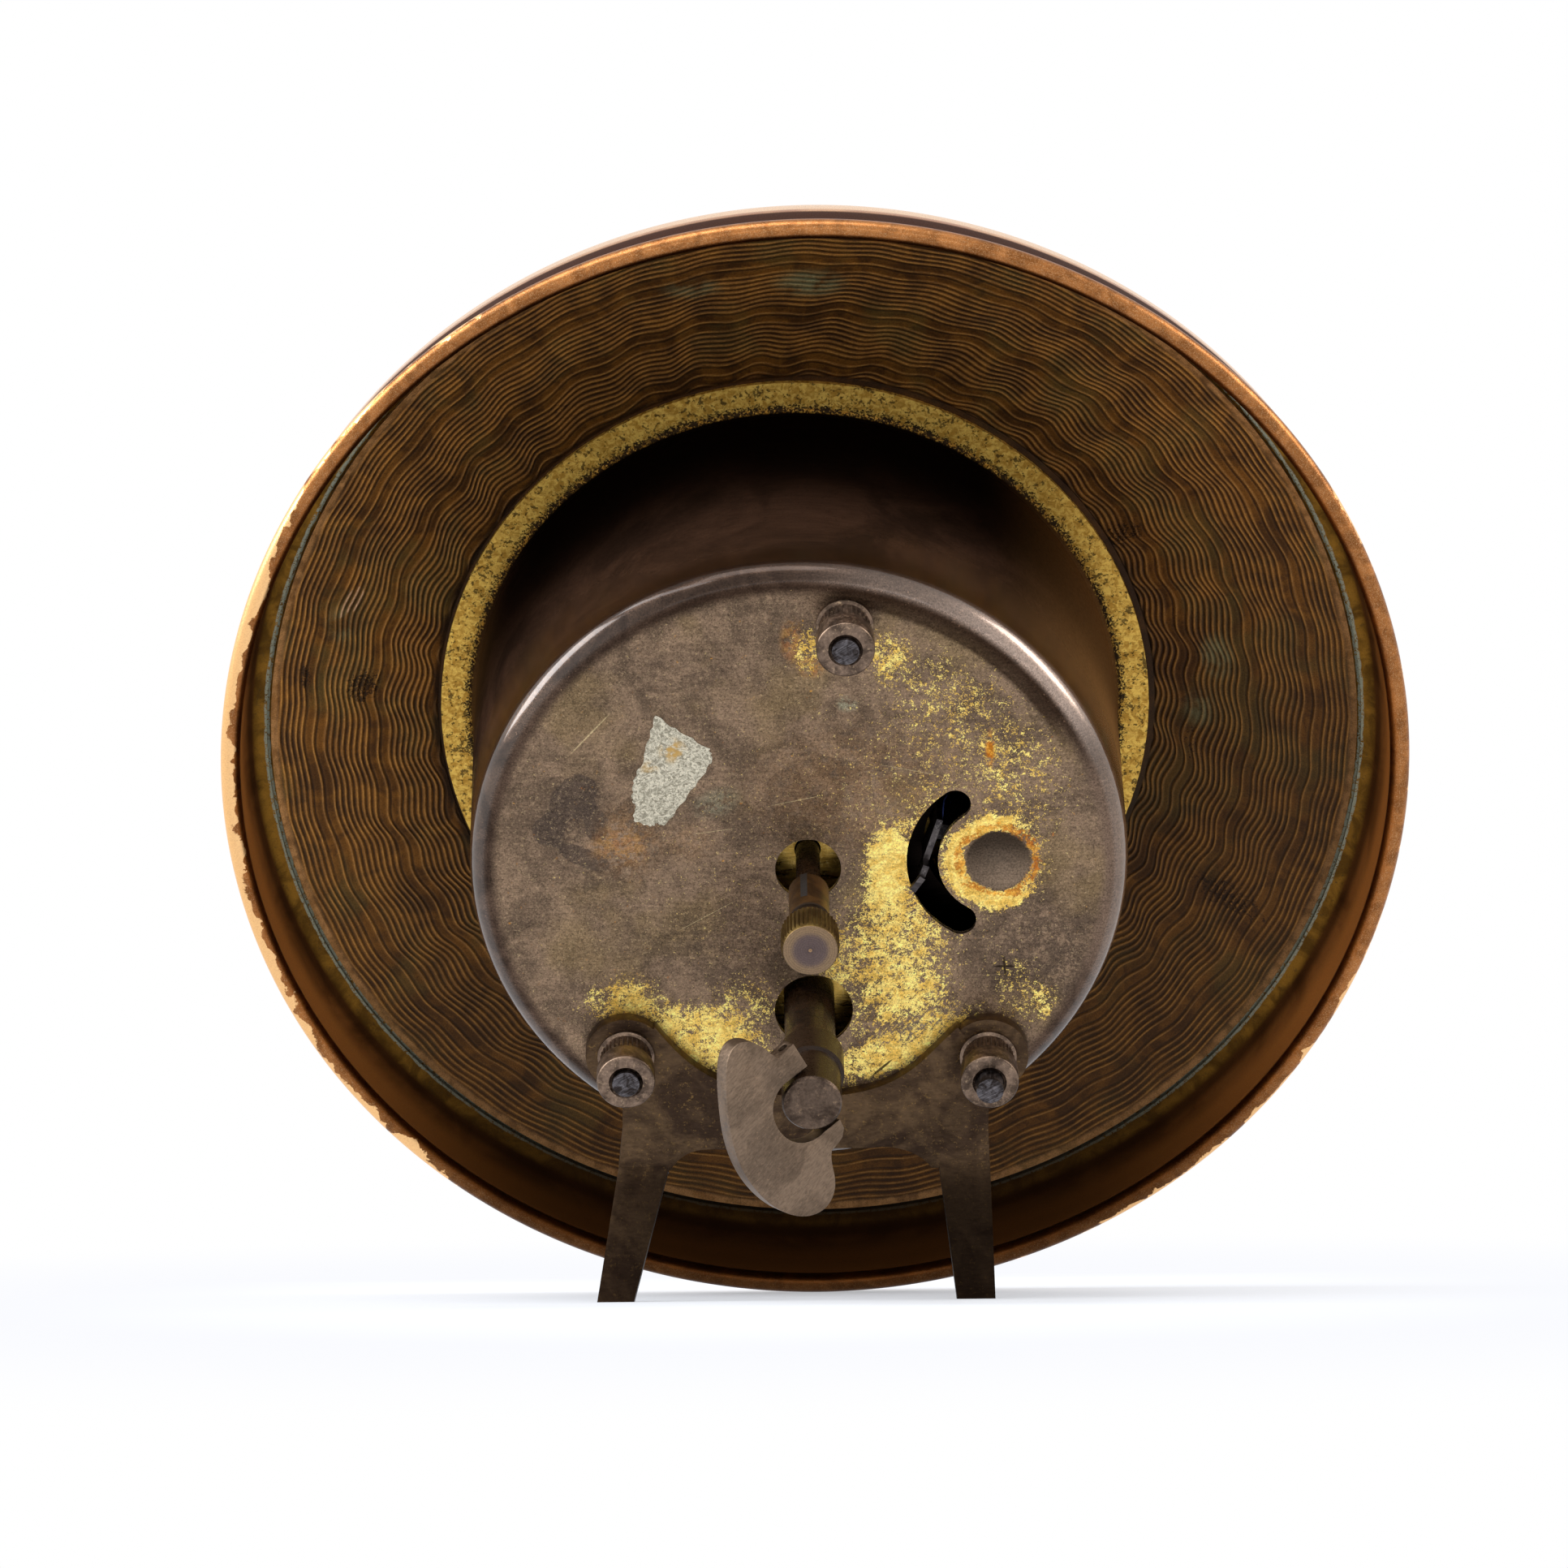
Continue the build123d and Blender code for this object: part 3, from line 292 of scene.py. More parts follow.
class Finish(Web):
    """A procedural material with a Principled shader."""

    def __init__(self, name, **uniform):
        self.material = bpy.data.materials.new(name)
        self.material.use_nodes = True
        super().__init__(self.material.node_tree)
        self.shader = self.tree.nodes["Principled BSDF"]
        for key, value in uniform.items():
            self.shader.inputs[key.replace("_", " ")].default_value = value

    def clock(self, centre=(0.0, 0.0)):
        """Clock coordinates of the surface in millimetres, counted from a centre."""
        here = self.add("ShaderNodeTexCoord").outputs["Object"]
        named = {"Vector": here, "Location": place(*centre, 0.0), "Rotation": CLOCK_TURN.to_euler()}
        named["Scale"] = (MM, MM, MM)
        return self.add("ShaderNodeMapping", named, vector_type="TEXTURE").outputs[0]

    def attribute(self, name):
        return Field(self, self.add("ShaderNodeAttribute", attribute_name=name).outputs["Fac"])

    def place_group(self, group, *values):
        """Outputs of a shared group fed with values in the order of its inputs."""
        node = self.add("ShaderNodeGroup", node_tree=group)
        for socket, value in zip(node.inputs, values):
            self.feed(socket, value)
        return {socket.name: Field(self, socket) for socket in node.outputs}

    def tarnish(self, vector, light, dark, cloud_size, pit_size=0.5, pits=0.25):
        return self.place_group(TARNISH, vector, light, dark, cloud_size, pit_size, pits)["Color"]

    def specks(self, vector, size, cover, crisp):
        return self.place_group(SPECKLE, vector, size, cover, crisp)["Mask"]

    def grain(self, vector, size, contrast, stretch=(1, 1, 1)):
        return self.place_group(GRAIN, vector, size, stretch, contrast)

    def patches(self, vector, rows):
        """Sum of soft ovals given as x, y, radius, radius, turn and strength."""
        total = 0.0
        for x, y, rx, ry, turn, strength in rows:
            patch = self.place_group(PATCH, vector, (x, y, 0.0), (rx, ry, 1.0), math.radians(-turn))
            total = total + patch["Mask"] * strength
        return total

    def polar_parts(self, vector):
        """Radius, angle in degrees and height of a vector round its z axis."""
        x, y, z = self.split(vector)
        return self.off_axis(vector), self.calc("ARCTAN2", y, x) * (180 / math.pi), z

    def wear(self, colour=None, rough=None, metal=None, coat=None):
        named = {"Base Color": colour, "Roughness": rough, "Metallic": metal, "Coat Weight": coat}
        for key, value in named.items():
            self.feed(self.shader.inputs[key], value)

    def relief(self, height, depth_mm):
        named = {"Height": height, "Strength": 1.0, "Distance": depth_mm * MM}
        self.feed(self.shader.inputs["Normal"], self.add("ShaderNodeBump", named).outputs[0])

    def worked(self, colour, tone, low, high, depth_mm):
        """Material of worked metal, whose grain shows in shade, gloss and relief."""
        self.wear(self.toned(colour, tone["Shade"]), self.span(tone["Height"], 0.3, 0.7, low, high))
        self.relief(tone["Height"], depth_mm)
        return self.material


def copper_finish():
    """Spun rim: browned copper colour, rubbed bright along the outer side of the bead, where a painted edge
    glow lies over the wear; painted highlights and shade elsewhere.
    """
    f = Finish("spun_copper", Metallic=1, Specular_IOR_Level=0)
    here = f.clock(RIM_AT)
    radius, angle, height = f.polar_parts(here)
    zone = f.attribute("zone")
    on_bead, on_inside = f.span(zone, 0.75, 0.8), f.span(zone, 1.88, 2.02)
    # Outer wall: painted shade, dark brown from height 3 up to the bead where the bead overhangs it, and a
    # painted highlight, a pale band from the lip over the wall's bulge.
    wall = f.coats(
        f.tarnish(here, (212, 156, 106), (176, 116, 72), 6),
        (f.span(height, 2.5, 3.1), (58, 30, 16)),
        (f.band(height, -0.9, 0.2, 2, 2.4), (240, 200, 160)),
    )
    # Bead: the tan band over its outer shoulder and the bright glints are a painted highlight; the dark
    # pits are the copper's own.
    middle = f.band(zone, 0.98, 1.2, 1.42, 1.62)
    bead = f.coats(
        f.tarnish(here, (156, 88, 32), (116, 62, 22), 3, 0.3),
        (middle, f.tarnish(here, (170, 110, 60), (130, 80, 40), 2, 0.25)),
        (f.specks(here, 0.1, 0.34, 0.04) * (middle * 0.28 + 0.12), (242, 200, 150)),
        (f.specks(here, 0.22, 0.14, 0.03) * 0.5, (84, 46, 24)),
    )

    # Where the bead is rubbed bright, with a painted edge glow over the wear: the left side fully, other
    # stretches of its round in part.
    side = f.span(abs(angle), 146, 156)
    for stretch, amount in (
        (f.band(angle, -170, -150, -134, -124), 0.8),
        (f.band(angle, -74, -60, -24, -12), 0.55),
        (f.span(abs(angle - 8), 34, 18), 0.1),
        (f.band(angle, 116, 126, 146, 154), 0.14),
    ):
        side = f.larger(side, stretch * amount)
    reach = 1.1 + side * 0.4 + (f.noise(here, 0.34, 5, 0.62, 0.4) - 0.5) * 0.9
    rubbed_and_edge_glow = f.span(reach - zone, 0, 0.03) * f.span(side, 0.03, 0.09) * f.span(zone, 0.76, 0.82)
    bead = f.mix(rubbed_and_edge_glow, bead, (252, 200, 138))

    # Inner side: the dark brown towards the ledge is painted shade in the trough under the bead.
    inside = f.coats(
        f.tarnish(here, (158, 100, 50), (112, 68, 32), 8),
        (f.span(height, 1.6, 4.2), (196, 124, 60)),
        (f.span(height, 1.9, 0.8, 0, 0.75), (38, 22, 12)),
    )
    ledge = f.tarnish(here, (138, 98, 36), (92, 64, 24), 2.5)
    ledge = f.mix(f.specks(here, 0.5, 0.22, 0.06) * 0.5, ledge, (66, 58, 40))
    outside = f.mix(on_bead, wall, bead)
    colour = f.coats(outside, (on_inside, inside), (f.span(height, 0.55, 0.15), ledge))
    colour = f.mix(f.span(zone, 1.85, 2), outside, colour)

    wandered = radius + (f.noise(here, 0.7, 3, 0.6) - 0.5) * 0.35
    green = f.band(wandered, 43.9, 43.98, 44.3, 44.4) * f.specks(here, 0.4, 0.62, 0.04)
    top_gap = f.span(abs(angle - 92), 26, 44)
    bottom_thin = f.span(abs(angle + 90), 0, 50, 0.45, 1)
    green = green * (top_gap * bottom_thin) * f.span(zone, 1.9, 2)
    # Painted shade: the bead and the rim's inside darkened towards the bottom of the round, less where the
    # bead is rubbed.
    low = f.span(f.split(here)[1], -20, -43, 0, f.span(zone, 1.7, 2.2, 0.72, 0.88))
    low = low * f.span(zone, 0.76, 0.8) * (1 - rubbed_and_edge_glow)
    colour = f.coats(colour, (green, (150, 152, 132)), (low, (34, 19, 8)))
    tone = f.grain(here, 0.12, 0.14)
    rough = f.span(zone, 0.6, 0.8) * 0.1 + f.span(tone["Height"], 0.3, 0.7, 0.2, 0.3) + green * 0.4
    dull = f.larger(f.span(zone, 0.72, 0.6) * f.span(height, 2.5, 3.1), on_inside)
    f.wear(f.toned(colour, tone["Shade"]), rough, f.span(dull, 0, 1, 1, 0.2, smooth=False))
    f.relief(tone["Height"], 0.012)
    return f.material


# Rows of oval spots in millimetres: x, y, radius along, radius across, turn in degrees and strength.
GREEN_SPOTS = [
    (-0.2, 38.3, 3.6, 1.8, 0, 1), (-9.5, 38, 3.2, 1.3, 0, 0.6), (32.6, 4.4, 1.7, 2.6, 8, 0.95),
    (31.2, -0.4, 1.7, 2.2, 0, 0.8), (-38, 9, 1.6, 2.2, 0, 0.5),
]
PALE_RIDGES = [(-36.9, 11, 1, 1.9, -25, 1), (-37.8, 10.4, 0.5, 1.6, -20, 0.9)]
RUST_SPOTS = [
    (-36.4, 3, 2.2, 2.4, 0, 1), (-41, 4.6, 1, 1.8, 0, 0.8), (25, 15, 3, 2, 30, 0.8),
    (33.5, -16.5, 6, 2, -28, 0.8), (-20.5, 27, 2, 1.2, 0, 0.5), (30.5, -3.4, 1, 2.4, 0, 0.6),
]


def engine_turned_finish():
    """Browned brass with tan ridges, greenish patches and small rust spots."""
    f = Finish("engine_turned_brass", Metallic=0.8)
    here = f.clock(RIM_AT)
    x, y, _ = f.split(here)
    ridge, groove = f.attribute("ridge"), f.attribute("groove")
    cloud = f.noise(here, 0.16, 3, 0.55)
    streak = f.noise(here, 0.5, 3, 0.6)
    top = f.mix(f.span(streak, 0.36, 0.64), (164, 116, 64), (194, 136, 66))
    low = f.mix(f.span(cloud, 0.4, 0.6), (54, 36, 22), (66, 50, 28))
    edge = f.span(f.off_axis(here), PLATE_EDGE - 0.7, PLATE_EDGE - 0.35)
    bright = f.span(f.noise(here, 0.9, 3, 0.6), 0.35, 0.6, 0.35, 0.95)
    colour = f.coats(
        f.tarnish(here, (134, 86, 32), (86, 54, 22), 3, 0.35, 0.4),
        (f.span(cloud, 0.5, 0.66, 0, 0.55), (102, 84, 40)),
        (groove * f.span(streak, 0.66, 0.4, 0.6, 1), low),
        (ridge * f.span(streak, 0.3, 0.6, 0.6, 1), top),
        (f.patches(here, GREEN_SPOTS) * f.span(streak, 0.3, 0.55) * 0.62, (132, 134, 96)),
        (f.span(f.patches(here, PALE_RIDGES), 0.35, 0.6) * (ridge * 0.9), (214, 170, 130)),
        (f.specks(here, 0.4, f.patches(here, RUST_SPOTS) * 0.62, 0.03) * 0.85, (28, 18, 11)),
        (f.specks(here, 0.3, 0.17, 0.02) * 0.6, (34, 22, 12)),
        (edge * bright, (186, 134, 80)),
        # Painted shadow: a dark ring on the plate round the cup's flange.
        (f.span(f.off_axis(f.clock(CUP_AT)), 29.5, 29.1) * 0.8, (34, 22, 12)),
        # Painted shade: the plate darker towards its lower right.
        (f.span(y + x * -0.4, 20, -24, 0, 0.6), (34, 21, 9)),
    )
    return f.worked(colour, f.grain(here, 0.1, 0.45), 0.36, 0.5, 0.012)


# Areas on the cup's back, in the same form.
GOLD_PATCHES = [
    (6.2, 0.2, 2.6, 5.2, -4, 0.62), (6.6, -7.2, 6.4, 7.4, 0, 0.42),
    (7.6, -13.8, 7.4, 6.4, 25, 0.36), (-9.2, -14.9, 9.4, 4.2, -22, 0.62),
    (-15.2, -11.2, 5, 2.8, 20, 0.42), (-5.2, -12.4, 4.6, 4.4, 0, 0.3),
    (3.6, -17.6, 7, 2.4, 20, 0.5), (11, -15.4, 6, 3.6, 35, 0.3),
    (1.5, -9, 2.6, 5, 0, 0.3), (16.8, -11.2, 3.4, 5.6, 15, 0.3),
    (19, -12, 1.6, 3, 15, 0.34), (0.1, 19.2, 2, 3.6, 0, 0.42),
    (6.2, 18.8, 2.8, 3.4, 0, 0.36), (9.6, 16.6, 8, 3.6, -28, 0.09),
    (12, 14, 11, 7.5, -35, 0.17), (17.5, 7.5, 6.5, 7, 0, 0.17),
    (9.8, 1, 4, 9, 0, 0.18), (12, 5, 14, 19, 0, 0.13),
    (0, 0, 24, 24, 0, 0.13),
]
DARK_PATCHES = [
    (-18.6, 4.6, 3.6, 5.4, -35, 1), (-15.8, -0.2, 4.6, 2, 25, 0.9), (-8, -6.5, 10, 4.6, 0, 0.7),
    (-9.5, 17.5, 7, 2.2, 5, 0.55), (2, -17.5, 14, 4, 0, 0.3), (18.5, -8, 7, 9, 10, 1),
    (2.9, 22, 3.2, 2.8, 0, 1.7),
]
GLUE_PATCHES = [
    (-18.4, 6.4, 2.5, 3.4, -35, 1), (-20.4, 3.6, 1.9, 2, 0, 1), (-17.6, 1.2, 3.4, 1.3, -25, 1),
    (-16.6, 4, 1.5, 2.4, 0, 0.8),
]
BROWN_PATCHES = [
    (-14.2, 2.6, 3.6, 4.6, 0, 0.9), (4, 7, 12, 8, 0, 0.6), (-9.5, 2.4, 3, 2.4, 0, 0.5),
]
PALE_PATCHES = [
    (-7.2, 5.9, 2.6, 1.6, 20, 0.8), (3.1, 14.4, 1.1, 0.9, 0, 1.6), (9.3, -14, 4, 1.3, 30, 0.5),
]
PALE_SCRATCHES = [
    (-17, 12, 0.08, 3.1, -42, 2), (-1, 6, 2.6, 0.05, 12, 2), (-7.4, 3.4, 2.2, 0.04, 8, 2),
    (8, 8.6, 3, 0.04, -12, 2), (-8, -4, 3.6, 0.035, 30, 2),
]
DARK_SCRATCHES = [
    (15.5, -8.7, 1.1, 0.12, 0, 2), (15.5, -8.7, 0.12, 1.1, 4, 2), (5.8, -17.6, 0.13, 1.3, -48, 2),
]
RUST_BLOTS = [
    (14.3, 10.3, 0.5, 2.1, 0, 1.4), (-14.8, 2.2, 3.2, 2.2, 0, 0.25), (0.3, 17.6, 1.4, 1.2, 0, 0.5),
    (-1.2, 19.8, 1.2, 2.6, 0, 0.4),
]


def cup_finish():
    """Drawn cup: patchy worn gold and grey-brown behind, dark glossy side, speckled gold flange, with
    painted shade and highlights.
    """
    f = Finish("cup_patina", Metallic=0.9, Coat_Roughness=0.1, Specular_IOR_Level=0)
    here = f.clock()
    balance = f.clock(BALANCE_AT)
    radius, angle, height = f.polar_parts(f.clock(CUP_AT))
    true_near, around, _ = f.polar_parts(balance)
    ragged = f.span(f.noise(here, 1.5, 5, 0.72), 0.4, 0.54)
    glued = f.patches(here, GLUE_PATCHES) + (f.noise(here, 1.2, 4, 0.7) - 0.5) * 0.5
    patina = f.coats(
        f.tarnish(here, (138, 114, 92), (102, 84, 68), 3.6, 0.3, 0.4),
        (f.span(f.noise(here, 0.11, 3, 0.6), 0.5, 0.66, 0, 0.5), (134, 111, 76)),
        (f.patches(here, DARK_PATCHES) * ragged * 0.7, (74, 61, 52)),
        (f.span(glued, 0.4, 0.5) * 0.75, (76, 64, 56)),
        (f.patches(here, BROWN_PATCHES) * ragged * 0.5, (144, 106, 68)),
        (f.patches(here, PALE_PATCHES) * ragged * 0.55, (152, 148, 122)),
        (f.specks(here, 0.26, 0.36, 0.03) * 0.5, (62, 50, 40)),
        (f.specks(here, 0.3, 0.3, 0.02) * 0.3, (190, 164, 128)),
    )

    # How much gold is left: patches, slanting rub marks and a ring round the dimple.
    near = true_near + (f.noise(here, 0.8, 4, 0.65) - 0.5) * 2.2
    ring = f.band(near, 2.5, 2.8, 3.7, 4.6)
    ring_left = f.span(abs(around - 16), 30, 90, 0.25, 1)
    clumps = (f.noise(here, 0.9, 3, 0.6) - 0.5) * 0.9
    spread = f.patches(here, GOLD_PATCHES)
    slant = f.grain(f.turned(here, math.radians(-52)), 0.3, 0.5, (0.08, 1.4, 1))
    worn_lines = f.patches(here, [(9, -13, 9, 7, 0, 1)]) * (slant["Shade"] - 1)
    cover = spread + clumps * f.span(spread, 0.05, 0.5) + worn_lines * 0.5
    cover = cover * f.span(true_near, 2.4, 2.7) + ring * ring_left * 0.7
    fleck = f.specks(here, 0.3, cover * f.span(radius, 24.7, 23.2), 0.015)

    rust = f.specks(here, 0.7, ring * f.span(near, 3.7, 3.1) * 0.6, 0.06)
    rust = rust * 0.85 + f.patches(here, RUST_BLOTS) * ragged * 0.8
    rust_colour = f.mix(f.span(f.noise(here, 1.1, 3, 0.6), 0.4, 0.6), (176, 100, 26), (226, 160, 60))
    across, up, _ = f.split(balance)
    # Dimple: painted shading, dark at its upper left and light at its lower right.
    dimple = f.mix(f.span(up, 1.9, -2), (58, 47, 37), (124, 105, 87))
    dimple = f.mix(f.span(across, 1, -2.4, 0, 0.35), dimple, (52, 42, 34))
    upper_right = f.band(angle, 18, 36, 74, 92)
    # Shoulder: painted shade darkens its top and a painted highlight lightens its right; the peach specks
    # on the upper right are rubbed flecks that also stand in for the speckled highlight.
    shoulder = f.coats(
        f.tarnish(here, (88, 70, 58), (58, 45, 37), 4, 0.3),
        (f.specks(here, 0.3, upper_right * 0.12 + 0.04, 0.03) * 0.7, (232, 184, 150)),
        (f.span(abs(angle - 96), 46, 14, 0, 0.6), (38, 24, 16)),
        (f.span(abs(angle), 34, 10, 0, 0.5), (142, 118, 100)),
    )
    # On the upper right: a painted shade line inside the shoulder and a painted highlight along its crest.
    groove = f.band(radius, 22.9, 23.4, 24.3, 24.9)
    crest_highlight = f.span(radius, 24.4, 25) * f.span(angle, 70, 46, 0.3, 1)
    back = f.coats(
        patina,
        (fleck, f.tarnish(here, (255, 224, 128), (222, 180, 86), 1.2, 0.25)),
        (f.span(f.patches(here, PALE_SCRATCHES), 0.2, 1) * 0.6, (196, 176, 132)),
        (f.span(f.patches(here, DARK_SCRATCHES), 0.1, 0.6) * 0.9, (44, 34, 25)),
        (rust, rust_colour),
        (f.span(true_near, 2.75, 2.35), dimple),
        (f.span(radius, 23.5, 24.5), shoulder),
        (crest_highlight * upper_right * 0.7, (186, 162, 146)),
        (groove * upper_right * 0.85, (46, 31, 20)),
    )

    # Drum side: painted shade, near black over the top half next to the flange, and painted light,
    # olive-brown near the flange on the sides and below and lighter brown on the right.
    over = f.span(abs(angle - 90), 84, 50)
    flank = f.span(abs(angle - 90), 60, 95)
    side = f.coats(
        f.tarnish(here, (52, 35, 25), (35, 23, 16), 9, 0.4, 0.3),
        (over * f.span(height, 19, 0), (9, 5, 3)),
        (flank * f.span(height, 14, -3, 0, 0.7), (104, 76, 40)),
        (f.span(abs(angle), 56, 10, 0, 0.8), (122, 86, 48)),
    )
    # Dark specks that thicken towards the drum: partly specks, partly painted shade where the flange meets
    # the drum.
    specks_and_foot_shade = f.specks(here, 0.5, f.span(radius, 27.5, 26.3) * 0.6, 0.04)
    speck = f.larger(f.specks(here, 0.8, 0.34, 0.02) * 0.8, specks_and_foot_shade)
    flange = f.tarnish(here, (232, 190, 92), (176, 132, 54), 0.5, 0.15, 0.4)
    colour = f.coats(
        side,
        (f.span(height, 23.4, 25), back),
        (f.span(height, -3.4, -3.8) * f.span(radius, 26.1, 26.3), f.mix(speck, flange, (52, 42, 28))),
    )

    tone = f.grain(here, 0.14, f.span(height, 23.4, 25.6, 0.12, 0.5))
    rub = f.grain(here, 0.4, 0.16, (0.12, 1.6, 1))
    on_back = f.span(height, 25.3, 25.65)
    rough = on_back * 0.18 + f.span(tone["Height"], 0.3, 0.7, 0.17, 0.25)
    metal = f.span(height, 20, 23, 0, f.span(on_back, 0, 1, 0.6, 0.9))
    metal = f.larger(metal, f.span(height, -3.4, -3.8, 0, 0.45))
    coat = f.span(height, 13, 22) * f.span(on_back, 0, 1, 1, 0.04)
    coat = coat * f.span(abs(angle - 98), 10, 44, 0.25, 1)
    f.wear(f.toned(colour, tone["Shade"] * rub["Shade"]), rough, metal, coat)
    f.relief(tone["Height"] + fleck * 0.5, 0.012)
    return f.material


def worn_finish(
    name, light, dark, bright, size=4, cover=0.12, rough=0.42, metal=1, stretch=(1, 1, 1),
    shade=None, brushed=0, gloss=0.5,
):
    """Browned metal with grain and a few brighter rubbed flecks; some parts have a darker place."""
    f = Finish(name, Metallic=metal, Specular_IOR_Level=gloss)
    here = f.clock()
    x, y, z = f.split(here)
    colour = f.tarnish(here, light, dark, size, 0.3, 0.35)
    colour = f.mix(f.specks(here, 0.5, cover, 0.08) * 0.6, colour, bright)
    if shade == "legs":
        # Painted shade: the legs darkened below the bend, the right leg most.
        right_leg = f.span(x, 6, 9) * f.span(y, -25, -29, 0, 0.6)
        colour = f.mix(f.span(y, -24, -27, 0, 0.74), colour, (20, 12, 8))
        colour = f.mix(right_leg, colour, (10, 6, 4))
    if shade == "key":
        on_head = f.span(z, KEY_BACK - 0.1, KEY_BACK + 0.05)
        colour = f.mix(on_head, (40, 26, 15), colour)
        f.wear(metal=f.span(on_head, 0, 1, 0.1, 0.95))
    if shade == "balance":
        nearby = f.off_axis(f.clock(BALANCE_AT))
        colour = f.mix(f.span(nearby, 12, 9), colour, (14, 10, 8))
    tone = f.grain(f.turned(here, math.radians(brushed)), 0.25, 0.3, stretch)
    return f.worked(colour, tone, rough - 0.06, rough + 0.1, 0.01)


def turned_face_finish():
    """Knob: brown slotted tube, olive knurled head and, at height 40, an end face of fine rings."""
    f = Finish("knob_brass", Metallic=0.95)
    here = f.clock()
    radius, _, height = f.polar_parts(here)
    side = f.mix(0.6, f.tarnish(here, (150, 122, 66), (104, 80, 40), 1.4, 0.3), (44, 30, 14))
    rings = f.calc("SINE", radius * 34)
    face = f.coats(
        f.mix(f.span(radius, 1.15, 1.7), (92, 78, 76), (130, 107, 82)),
        (f.span(rings, -0.4, 0.9, 0, 0.3), (72, 60, 58)),
        (f.specks(here, 0.09, 0.4, 0.05) * f.span(radius, 0.8, 1.8, 0.1, 0.5), (164, 136, 104)),
        (f.span(radius, 0.7, 0.1, 0, 0.3), (70, 58, 56)),
        (f.span(radius, 0.17, 0.11), (150, 120, 90)),
    )
    colour = f.coats(
        f.tarnish(here, (110, 80, 46), (70, 50, 30), 2, 0.3),
        (f.band(height, 34.6, 34.75, 35.35, 35.5), (46, 36, 28)),
        (f.span(height, 36.15, 36.25), side),
        (f.span(height, 39.75, 39.85) * f.span(radius, 2.25, 2.32), (228, 214, 190)),
        (f.span(height, 39.9, 39.95), face),
    )
    tone = f.grain(here, 0.1, 0.2)
    f.wear(f.toned(colour, tone["Shade"]), f.span(tone["Height"], 0.3, 0.7, 0.34, 0.48))
    f.relief(tone["Height"] + rings * 0.3, 0.01)
    return f.material


def sawn_steel_finish():
    """Stud ends: dark steel with slanting saw marks."""
    f = Finish("sawn_steel", Metallic=1)
    here = f.clock()
    marks = f.grain(f.turned(here, math.radians(-30)), 0.16, 0.8, (0.12, 1.9, 0.1))
    return f.worked(f.tarnish(here, (96, 92, 94), (48, 42, 40), 0.8), marks, 0.28, 0.45, 0.02)


def paper_finish():
    """Remains of a glued paper label, grey-white with fibres."""
    f = Finish("paper_remains", Metallic=0)
    here = f.clock()
    fibre = f.noise(here, 3.4, 5, 0.72, 1.2)
    colour = f.mix(f.span(fibre, 0.38, 0.62), (130, 122, 102), (218, 208, 184))
    stain = f.patches(here, [(-10.6, 10.5, 1.4, 1.4, 0, 1), (-12.4, 9, 1, 0.8, 0, 0.6)])
    colour = f.mix(stain * f.span(f.noise(here, 1.2, 3, 0.6), 0.42, 0.6), colour, (186, 146, 74))
    f.wear(colour, 0.8)
    f.relief(fibre, 0.03)
    return f.material


def dial_finish():
    """Aged pale dial."""
    f = Finish("dial_paint", Metallic=0)
    here = f.clock()
    f.wear(f.tarnish(here, (236, 229, 208), (222, 212, 184), 7, 0.3, 0.12), 0.45)
    f.relief(f.noise(here, 8, 2), 0.004)
    return f.material


def flat_finish(name, light, dark, rough, metal):
    """Even coat with slight clouds."""
    f = Finish(name, Metallic=metal)
    here = f.clock()
    tone = f.grain(here, 0.2, 0.08, (0.3, 1, 1))
    smooth = f.span(tone["Height"], 0.3, 0.7, rough - 0.05, rough + 0.07)
    f.wear(f.tarnish(here, light, dark, 2.5, 0.2, 0.1), smooth)
    f.relief(tone["Height"], 0.004)
    return f.material


def glass_finish():
    """Clear domed glass with a few fine scratches."""
    f = Finish("crystal_glass", Metallic=0, Transmission_Weight=1, IOR=1.5)
    here = f.clock()
    haze = f.grain(here, 0.4, 0.3, (0.1, 1, 0.4))
    f.shader.inputs["Base Color"].default_value = (0.97, 0.99, 0.985, 1)
    f.wear(rough=f.span(haze["Height"], 0.62, 0.75, 0.02, 0.14))
    return f.material


